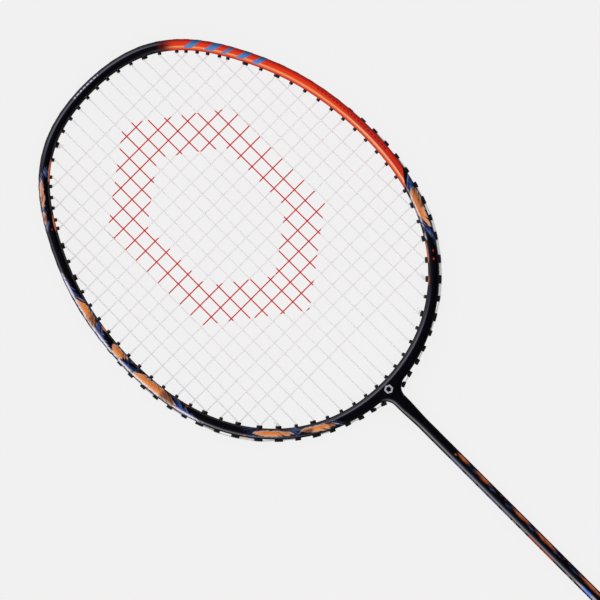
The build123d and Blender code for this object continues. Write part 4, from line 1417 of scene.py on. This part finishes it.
def string_nylon():
    mat = Material("string_nylon")
    length, angle = mat.attr("su"), mat.attr("sa")
    # braided jacket: two families of helices
    braid = larger(sine(length * 9.0 + angle * 3.0), sine(length * 9.0 - angle * 3.0))
    speckle = noise(mat.coords(), scale=5000, detail=3)
    colour = mix(rise(braid, -0.2, 0.9), srgb(217, 214, 216), srgb(225, 222, 224))
    # painted shade: the string is darker outside the head, where it lies in the hoop and its
    # groove between the bushes
    colour = mix(mat.attr("outside") * 0.8, colour, srgb(204, 199, 200))
    ragged = mat.attr("ink") + (noise(mat.coords(), scale=700, detail=3) - 0.5) * 0.9
    ink = mix(rise(speckle, 0.3, 0.75), srgb(186, 24, 20), srgb(202, 40, 32))
    cover = rise(speckle + braid * 0.08, 0.12, 0.3, bottom=0.86)
    colour = mix(rise(ragged, -0.1, 0.1) * cover, colour, ink)
    # painted light: a faint emission makes the string glow, lifting its shaded sides
    return mat.finish(
        Base_Color=colour, Roughness=0.7, Specular_IOR_Level=0.08, Emission_Color=colour,
        Emission_Strength=0.1)


# ---- handle ---------------------------------------------------------------------------------
CHAMFER = 0.2929  # corner cut of a regular octagon, as a share of its width


def octagon_radius(angle, width, height, corner):
    """Radius of a rounded octagon section at each angle (0 along +X)."""
    right, top = width / 2 - corner, height / 2 - corner
    cut = CHAMFER * min(width, height) - corner * 2 * CHAMFER
    centres = np.array([
        (right, top - cut), (right - cut, top), (-right + cut, top), (-right, top - cut),
        (-right, -top + cut), (-right + cut, -top), (right - cut, -top), (right, -top + cut)])
    outline = []
    for k, centre in enumerate(centres):
        for share in np.linspace(0, 1, 9):
            turn = (k + share) * math.pi / 4
            outline.append(centre + corner * np.array([math.cos(turn), math.sin(turn)]))
    dense = np.array([
        start * (1 - share) + end * share
        for start, end in zip(outline, outline[1:] + outline[:1])
        for share in np.linspace(0, 1, 8, endpoint=False)])
    angles = np.mod(np.arctan2(dense[:, 1], dense[:, 0]), TURN)
    order = np.argsort(angles)
    radii = np.hypot(dense[:, 0], dense[:, 1])[order]
    return np.interp(np.mod(angle, TURN), angles[order], radii, period=TURN)


GRIP_Y0, GRIP_Y1 = 3.0, 173.5
GRIP_SIZE = np.array([  # y, width, height
    (3.0, 29.2, 27.2), (4.5, 30.2, 28.2), (8.5, 30.4, 28.4), (17.0, 28.0, 25.9),
    (26.0, 25.9, 23.7), (40.0, 25.3, 23.1), (168.0, 25.2, 23.0), (173.5, 25.0, 22.8)])
GRIP_INSIDE = [  # y, width, height: along the core, then the cap's flare
    (173.5, 21.8, 19.8), (26.0, 21.8, 19.8), (24.3, 22.5, 20.5), (8.3, 27.2, 25.2),
    (3.0, 27.55, 25.55)]
WRAP = 24.0  # pitch of the grip tape
HOLE_PITCH = 4.6
WRAP_TURN = 76.0  # tape length for each turn, in the hole pattern


def grip_mesh():
    y = np.linspace(GRIP_Y0, GRIP_Y1, 400)
    angle = np.linspace(0, TURN, 176, endpoint=False)
    # the size is smoothed so that the flare has no kinks
    width, height = (blur(np.interp(y, GRIP_SIZE[:, 0], GRIP_SIZE[:, k]), 25) for k in (1, 2))
    radius = np.stack([octagon_radius(angle, *size, 2.6) for size in zip(width, height)])
    y = y[:, None]
    turns = y / WRAP - angle / TURN
    along = np.mod(turns, 1.0) * WRAP  # 0 at the edge of the top layer
    ridge = 0.42 * np.exp(-((along - 1.35) / 0.95) ** 2)  # swells over the layer below
    seam = -0.34 * np.exp(-(np.minimum(along, WRAP - along) / 0.34) ** 2)  # step at the edge
    back = 0.10 * np.exp(-((along - 4.0) / 1.6) ** 2)
    # perforations in staggered rows along the tape
    tape = angle / TURN * WRAP_TURN + np.floor(turns) * WRAP_TURN
    stagger = 0.5 * np.mod(np.floor(along / HOLE_PITCH), 2)
    hole_u = np.mod(tape / HOLE_PITCH + stagger, 1.0) - 0.5
    hole_v = np.mod(along / HOLE_PITCH, 1.0) - 0.5
    hole = np.exp(-((hole_u ** 2 + hole_v ** 2) * HOLE_PITCH ** 2) / (0.42 ** 2))
    hole = hole * (along > 2.6) * (along < WRAP - 1.2)
    radius = radius - 0.25 + ridge + seam + back - 0.22 * hole
    # both ends turn in
    radius -= 0.9 * np.exp(-(np.minimum(y - GRIP_Y0, GRIP_Y1 - y) / 0.7))
    inside = [
        around(octagon_radius(angle, *size, 1.0), angle, inner_y)
        for inner_y, *size in GRIP_INSIDE]
    rows = np.concatenate([around(radius, angle, y), np.array(inside)])
    faces = grid_faces(*rows.shape[:2], close_rows=True, close_columns=True)
    blank = np.zeros((len(inside), len(angle)))
    attrs = {"along": np.concatenate([along, blank]), "hole": np.concatenate([hole, blank])}
    return make("grip_wrap", rows.reshape(-1, 3), faces, attrs, recalc=True, sharp=60)


def grip_material():
    mat = Material("grip_foam")
    along, hole = mat.attr("along"), mat.attr("hole")
    grain = noise(mat.coords(), scale=1500, detail=5, rough=0.65)
    cells = mat.add(
        "TexVoronoi", {"Vector": mat.coords(), "Scale": 1400, "Randomness": 1.0},
        output="Distance", feature="DISTANCE_TO_EDGE")
    wear = noise(mat.coords(), scale=60, rough=0.6)
    colour = mix(rise(wear, 0.4, 0.7), srgb(28, 28, 30), srgb(44, 43, 45))
    colour = mix(rise(grain, 0.45, 0.7) * 0.4, colour, srgb(58, 57, 59))
    # painted shade along the step where each turn of tape laps over the last
    colour = mix(fall(along, 0.0, 0.7) * 0.75, colour, srgb(12, 12, 13))
    # painted shade: the perforations are painted near black
    colour = mix(rise(hole, 0.4, 0.85), colour, srgb(5, 5, 6))
    height = rise(cells, 0.0, 0.12) * 0.6 + grain * 0.7
    return mat.finish(
        Base_Color=colour, Roughness=0.62 + grain * 0.2, Specular_IOR_Level=0.3,
        Sheen_Weight=0.15, Sheen_Roughness=0.5,
        Normal=bump(height, strength=0.35, distance=0.00008))


TAPE_Y0, TAPE_Y1 = 161.0, 173.0


def tape_mesh():
    """Finishing tape: a thin band wound one and a bit turns, its second layer a step."""
    y = np.linspace(TAPE_Y0, TAPE_Y1, 40)[:, None]
    angle = np.linspace(0, TURN, 240, endpoint=False)
    lap = 0.14 * (np.mod(angle - 0.9, TURN) < 0.75)
    ripple = 0.025 * np.sin(y * 2.1 + angle * 3) * 0.3
    radius = octagon_radius(angle, 25.95, 23.75, 2.7) + lap + ripple
    radius -= 0.12 * np.exp(-np.minimum(y - TAPE_Y0, TAPE_Y1 - y) / 0.12)
    inner = octagon_radius(angle, 25.35, 23.15, 2.6)
    inside = [around(inner, angle, end) for end in (TAPE_Y1, TAPE_Y0)]
    rows = np.concatenate([around(radius, angle, y), np.array(inside)])
    faces = grid_faces(*rows.shape[:2], close_rows=True, close_columns=True)
    return make("finishing_band", rows.reshape(-1, 3), faces, recalc=True, sharp=45)


def tape_material():
    mat = Material("tape_vinyl")
    x, y, z = split(mat.coords())
    height = y * 1000.0
    mottle = noise(mat.coords(), scale=700)
    colour = mix(mottle, srgb(16, 16, 19), srgb(26, 26, 30))
    bands = (  # y, half width, colour
        (164.0, 0.55, srgb(214, 62, 28)), (170.0, 0.55, srgb(214, 62, 28)),
        (167.0, 1.2, srgb(40, 78, 150)))
    for centre, half, tint in bands:
        stripe = fall(magnitude(height - centre), half - 0.06, half + 0.06)
        colour = mix(stripe, colour, tint)
    wrinkle = noise(join(x * 3.0, y * 0.6, z * 3.0), scale=180, rough=0.6)
    return mat.finish(
        Base_Color=colour, Roughness=0.3 + mottle * 0.12,
        Coat_Weight=rise(mat.square_on(), 0.12, 0.5, bottom=0.05, top=0.25),
        Specular_IOR_Level=0.35, Coat_Roughness=0.25,
        Normal=bump(wrinkle, strength=0.25, distance=0.0002))


CONE_Y0 = 174.1
CONE_SIZE = np.array([  # y, radius
    (CONE_Y0, 11.0), (175.2, 11.05), (178.0, 10.85), (182.0, 10.2), (188.0, 8.9),
    (194.0, 7.4), (200.0, 6.1), (204.6, 5.35)])
CONE_RINGS = (178.6, 180.2)  # y of the two coloured grooves
CONE_TOP_GROOVE = 203.0


def cone_mesh():
    heights = np.linspace(174.7, 204.6, 60)
    radii = blur(np.interp(heights, *CONE_SIZE.T), 9)
    profile = [(10.75, CONE_Y0), (10.95, CONE_Y0 + 0.15)]
    for y, radius in zip(heights, radii):
        dip = sum(0.28 * math.exp(-((y - groove) / 0.33) ** 2)
                  for groove in (*CONE_RINGS, CONE_TOP_GROOVE))
        profile.append((radius - dip, y))
    profile += [(5.3, 205.2), (5.1, 205.7), (4.75, 205.95), (4.3, 206.0), (3.8, 205.9),
                (3.62, 205.6)]  # rounded top
    profile += [(3.62, 201.0), (5.1, 200.5), (9.05, CONE_Y0)]  # inside
    return lathe("cone_turned", profile, segments=112, sharp=40)


def cone_material():
    mat = Material("cone_plastic")
    y = split(mat.coords())[1] * 1000.0
    grain = noise(mat.coords(), scale=2600)
    colour = mix(grain, srgb(14, 14, 17), srgb(21, 21, 25))
    for ring in CONE_RINGS:
        colour = mix(fall(magnitude(y - ring), 0.25, 0.42), colour, srgb(206, 58, 28))
    return mat.finish(
        Base_Color=colour, Roughness=0.24 + grain * 0.1, Specular_IOR_Level=0.5,
        Coat_Weight=0.3, Coat_Roughness=0.15,
        Normal=bump(grain, strength=0.06, distance=0.00005))


# y, then a circle's radius, or an octagon's width, height and corner radius
CAP_ROWS = [
    (0.9, 0.02), (0.9, 4.0), (0.9, 7.9), (0.86, 8.0), (0.12, 8.0), (0.03, 8.08), (0.0, 8.2),
    (0.0, 22.4, 20.4, 4.0), (0.04, 24.6, 22.6, 3.6), (0.3, 26.0, 24.0, 3.2),
    (0.9, 26.8, 24.8, 3.0), (1.7, 27.2, 25.2, 2.8), (2.6, 27.35, 25.35, 2.6),
    (5.0, 27.3, 25.3, 2.4), (8.0, 27.0, 25.0, 2.2), (16.0, 24.7, 22.7, 1.8),
    (23.6, 22.45, 20.45, 1.4), (24.0, 22.2, 20.2, 1.3), (24.0, 21.65, 19.65, 0.6),
    (2.45, 21.65, 19.65, 0.6), (2.45, 6.0), (2.45, 0.02),
]


def cap_mesh():
    """Butt cap: flared rounded octagon, recessed for the badge, hollow for the core."""
    angle = np.linspace(0, TURN, 160, endpoint=False)
    rows = []
    for y, *size in CAP_ROWS:
        radius = size[0] if len(size) == 1 else octagon_radius(angle, *size)
        rows.append(around(radius, angle, y))
    return make("butt_cap_moulded", np.concatenate(rows), capped_faces(len(rows), len(angle)),
                recalc=True, sharp=40)


def cap_material():
    mat = Material("cap_plastic")
    grain = noise(mat.coords(), scale=3000, rough=0.6)
    wear = noise(mat.coords(), scale=150)
    colour = mix(rise(wear, 0.45, 0.75), srgb(16, 16, 18), srgb(34, 34, 36))
    return mat.finish(
        Base_Color=colour, Roughness=0.42 + grain * 0.2, Specular_IOR_Level=0.4,
        Normal=bump(grain, strength=0.25, distance=0.00006))


BADGE_PROFILE = [  # radius, y
    (0.02, 0.05), (2.0, 0.052), (4.0, 0.07), (5.2, 0.1), (5.35, 0.16), (5.5, 0.18),
    (5.65, 0.16), (5.8, 0.1), (6.9, 0.14), (7.5, 0.2), (7.78, 0.32), (7.88, 0.5), (7.9, 0.7),
    (7.85, 0.84), (7.7, 0.85), (0.02, 0.85)]


def badge_mesh():
    segments = 128
    return make("butt_badge_disc", turned(BADGE_PROFILE, segments),
                capped_faces(len(BADGE_PROFILE), segments), recalc=True, sharp=40)


def badge_material():
    mat = Material("badge_plastic")
    x, _, z = split(mat.coords())
    radius = root(squared(x * 1000.0) + squared(z * 1000.0))
    brushed = noise(join(radius * 2.2, polar(z, x) * 0.4), scale=4.0)
    colour = mix(brushed, srgb(206, 56, 28), srgb(232, 84, 40))
    colour = mix(band(radius, 5.1, 5.25, 5.75, 5.9), colour, srgb(24, 24, 28))
    return mat.finish(
        Base_Color=colour, Roughness=0.3, Coat_Weight=1.0, Coat_Roughness=0.06,
        Normal=bump(brushed, strength=0.05, distance=0.00005))


# ---- hidden structure keeps its CAD shape ---------------------------------------------------
def carbon_material():
    mat = Material("carbon_core")
    x, y, _ = split(mat.coords())
    weave = larger(sine((x + y) * 3600.0), sine((x - y) * 3600.0))
    colour = mix(rise(weave, 0.0, 1.0), srgb(16, 16, 18), srgb(48, 48, 52))
    return mat.finish(
        Base_Color=colour, Roughness=0.35, Coat_Weight=0.5, Coat_Roughness=0.15,
        Normal=bump(weave, strength=0.2, distance=0.00006))


def wood_material():
    mat = Material("handle_wood")
    x, y, z = split(mat.coords())
    rings = noise(join(x * 14.0, y * 0.9, z * 14.0), scale=22.0, detail=6, rough=0.6,
                  distort=1.2)
    pores = noise(join(x * 60.0, y * 1.6, z * 60.0), scale=60.0)
    colour = tints(rings, [(0.3, 170, 126, 82), (0.5, 206, 164, 114), (0.7, 184, 140, 92)])
    colour = mix(rise(pores, 0.55, 0.75) * 0.5, colour, srgb(120, 84, 52))
    return mat.finish(Base_Color=colour, Roughness=0.6, Normal=bump(pores, strength=0.2))


def steel_material():
    mat = Material("staple_steel")
    x, y, z = split(mat.coords())
    brushed = noise(join(x * 2.0, y * 90.0, z * 90.0), scale=60.0)
    colour = mix(brushed, srgb(150, 152, 156), srgb(196, 198, 202))
    return mat.finish(
        Base_Color=colour, Metallic=1.0, Roughness=0.25 + brushed * 0.2,
        Normal=bump(brushed, strength=0.1, distance=0.00004))


# ---- build ----------------------------------------------------------------------------------
def paint(ob, material):
    ob.data.materials.clear()
    ob.data.materials.append(material)


def build_strings():
    material = string_nylon()
    knots = [knot(SEATS[key], LAYER_Z, 0.8) for key in ((6, "R"), (8, "L"))]
    paint(string_object("main_string_woven", main_points(), knots, "main_string"), material)
    knots = [knot(SEATS[key], -LAYER_Z, 0.75) for key in ((34, "L"), (8, "R"))]
    paint(string_object("cross_string_woven", cross_points(), knots, "cross_string"), material)


head = head_frame_mesh()
place(head, "head_frame")
paint(head, frame_paint())

shaft = shaft_mesh()
place(shaft, "shaft")
paint(shaft, shaft_paint())

bush_material = bush_plastic()
for group, numbers, node in (
    ("crown_bushes", CROWN, "crown_grommets"), ("side_bushes", SIDE, "side_grommets"),
    ("throat_bushes", THROAT, "throat_grommets"), ("shared_bushes", SHARED, "shared_grommets"),
    ("tie_off_bushes", TIE_OFF, "tie_off_grommets"),
):
    paint(bush_group(group, numbers, node), bush_material)

build_strings()

for ob, slot, node, material in (
    (grip_mesh(), "grip_foam", "grip_tape", grip_material()),
    (tape_mesh(), "tape_vinyl", "finishing_tape", tape_material()),
    (cone_mesh(), "cone_plastic", "cone_cap", cone_material()),
    (cap_mesh(), "cap_plastic", "butt_cap", cap_material()),
    (badge_mesh(), "badge_plastic", "butt_badge", badge_material()),
):
    place(ob, node)
    paint(ob, material)

for node, material in (
    ("t_joint", carbon_material()), ("handle_core", wood_material()),
    ("grip_staple", steel_material()),
):
    paint(NODES[node], material)

# ---- stage: pale floor, soft light from -X, camera square above the string bed; metres -------
FLOOR_HALF = 6.0
BACKDROP = srgb(242, 241, 241)  # what the camera sees round the racket
SKY_TOP = 4.0  # brightness of a full ramp colour
WHITE, SOFT = (1.0, 0.985, 0.97), (0.84, 0.87, 1.0)
COOL, DEEP = (0.72, 0.76, 1.0), (0.36, 0.48, 1.0)
# elevation in degrees, brightness, colour, for four ranges of azimuth
SKY_MINUS_X = [
    (-60, .04, WHITE), (-14, .06, WHITE), (-6, .4, WHITE), (1, 2.0, WHITE), (8, 3.4, WHITE),
    (22, 3.3, WHITE), (33, 2.6, WHITE), (42, 1.5, COOL), (49, .8, DEEP), (60, .3, DEEP),
    (72, .1, COOL), (88, .03, COOL)]
SKY_MID = [
    (-60, .08, WHITE), (-30, .12, WHITE), (-12, .5, WHITE), (0, .85, COOL), (12, .6, COOL),
    (24, .38, DEEP), (38, .2, DEEP), (52, .08, DEEP), (66, .05, DEEP), (80, .03, COOL)]
SKY_CROWN = [
    (-60, .1, WHITE), (-30, .2, WHITE), (-8, .45, WHITE), (4, .55, WHITE), (14, .75, SOFT),
    (22, 1.4, SOFT), (32, 2.5, SOFT), (46, 3.2, COOL), (57, 3.5, COOL), (62, 1.5, COOL),
    (66, .14, DEEP), (88, .03, COOL)]
SKY_DARK = [
    (-60, .04, WHITE), (-10, .06, WHITE), (8, .04, COOL), (30, .02, COOL), (88, .02, COOL)]


def sky(direction):
    """Brightness the lacquer mirrors in a direction: a broad soft source to the -X side."""
    x, y, z = split(direction)
    elevation = z.graph.math("ARCSINE", larger(smaller(z, 1.0), -1.0))
    up = (elevation + math.pi / 2) / math.pi
    azimuth = polar(y, x * -1.0) * (180.0 / math.pi)  # degrees from -X towards +Y

    def column(table):
        return ramp(up, [
            ((height + 90.0) / 180.0, (*(bright / SKY_TOP * part for part in tint), 1.0))
            for height, bright, tint in table])

    minus_x, mid, crown, dark = map(column, (SKY_MINUS_X, SKY_MID, SKY_CROWN, SKY_DARK))
    colour = mix(rise(azimuth, -72, -12), dark, minus_x)
    colour = mix(rise(azimuth, 10, 38), colour, mid)
    colour = mix(rise(azimuth, 46, 74), colour, crown)
    return mix(rise(azimuth, 96, 150), colour, dark)


def mix_shaders(factor, first, second):
    return first.graph.add("MixShader", {0: factor, 1: first, 2: second})


def floor_material():
    """Backdrop to the camera, even to diffuse rays and sky to mirrored ones."""
    mat = Material("pale_floor")
    mat.spare = 0.5
    path = mat.add("LightPath")
    incoming = mat.add("NewGeometry", output="Incoming")
    ahead = mat.add("VectorMath", {0: incoming, "Scale": -1.0}, operation="SCALE")
    glow = mat.add("Emission", {"Color": BACKDROP})
    even = mat.add("Emission", {"Color": (0.86, 0.855, 0.85, 1)})
    mirrored = mat.add("Emission", {"Color": sky(ahead), "Strength": SKY_TOP})
    diffuse = mat.add("BsdfDiffuse", {"Color": (0.86, 0.86, 0.86, 1)})
    seen = mix_shaders(0.06, glow, diffuse)
    unseen = mix_shaders(path.output("Is Diffuse Ray"), mirrored, even)
    mat.end("OutputMaterial", mix_shaders(path.output("Is Camera Ray"), unseen, seen))
    return mat.material


def add_floor():
    z = CAD_BOX[0][2] - 0.0001
    corners = [(x * FLOOR_HALF, y * FLOOR_HALF, z)
               for x, y in ((-1, -1), (1, -1), (1, 1), (-1, 1))]
    mesh = bpy.data.meshes.new("floor")
    mesh.from_pydata(corners, [], [(0, 1, 2, 3)])
    floor = bpy.data.objects.new("floor", mesh)
    bpy.context.scene.collection.objects.link(floor)
    mesh.materials.append(floor_material())


def add_world():
    """Sky to mirrored rays, even light to diffuse ones, backdrop to the camera."""
    world = bpy.data.worlds.new("studio")
    bpy.context.scene.world = world
    world.use_nodes = True
    graph = Graph(world.node_tree)
    direction = graph.add("TexCoord", output="Generated")
    mirrored = graph.add("Background", {"Color": sky(direction), "Strength": SKY_TOP})
    even = graph.add("Background", {"Color": (0.98, 0.985, 1.0, 1), "Strength": 0.46})
    seen = graph.add("Background", {"Color": BACKDROP})
    path = graph.add("LightPath")
    unseen = mix_shaders(path.output("Is Diffuse Ray"), mirrored, even)
    graph.end("OutputWorld", mix_shaders(path.output("Is Camera Ray"), unseen, seen))


def add_lamp():
    """A soft overhead panel that lights diffuse surfaces without showing in the lacquer."""
    lamp = bpy.data.lights.new("overhead", "AREA")
    lamp.shape = "RECTANGLE"
    lamp.size, lamp.size_y = 1.6, 1.6
    lamp.energy = 14.0
    lamp.color = (1.0, 0.99, 0.97)
    lamp.specular_factor = 0.0
    ob = bpy.data.objects.new("overhead", lamp)
    bpy.context.scene.collection.objects.link(ob)
    ob.location = (0.0, 0.45, 1.5)
    ob.visible_glossy = False


def add_camera():
    camera = bpy.data.cameras.new("camera")
    camera.sensor_width = 36.0
    camera.clip_start, camera.clip_end = 0.05, 50.0
    camera.lens = 253.5
    ob = bpy.data.objects.new("camera", camera)
    bpy.context.scene.collection.objects.link(ob)
    ob.location = (0.0002, 0.49515, 2.5)
    ob.rotation_euler = (0.0, 0.0, -math.pi / 4)
    bpy.context.scene.camera = ob


add_floor()
add_world()
add_lamp()
add_camera()
bpy.context.scene.view_settings.view_transform = "Standard"
bpy.context.scene.view_settings.look = "None"
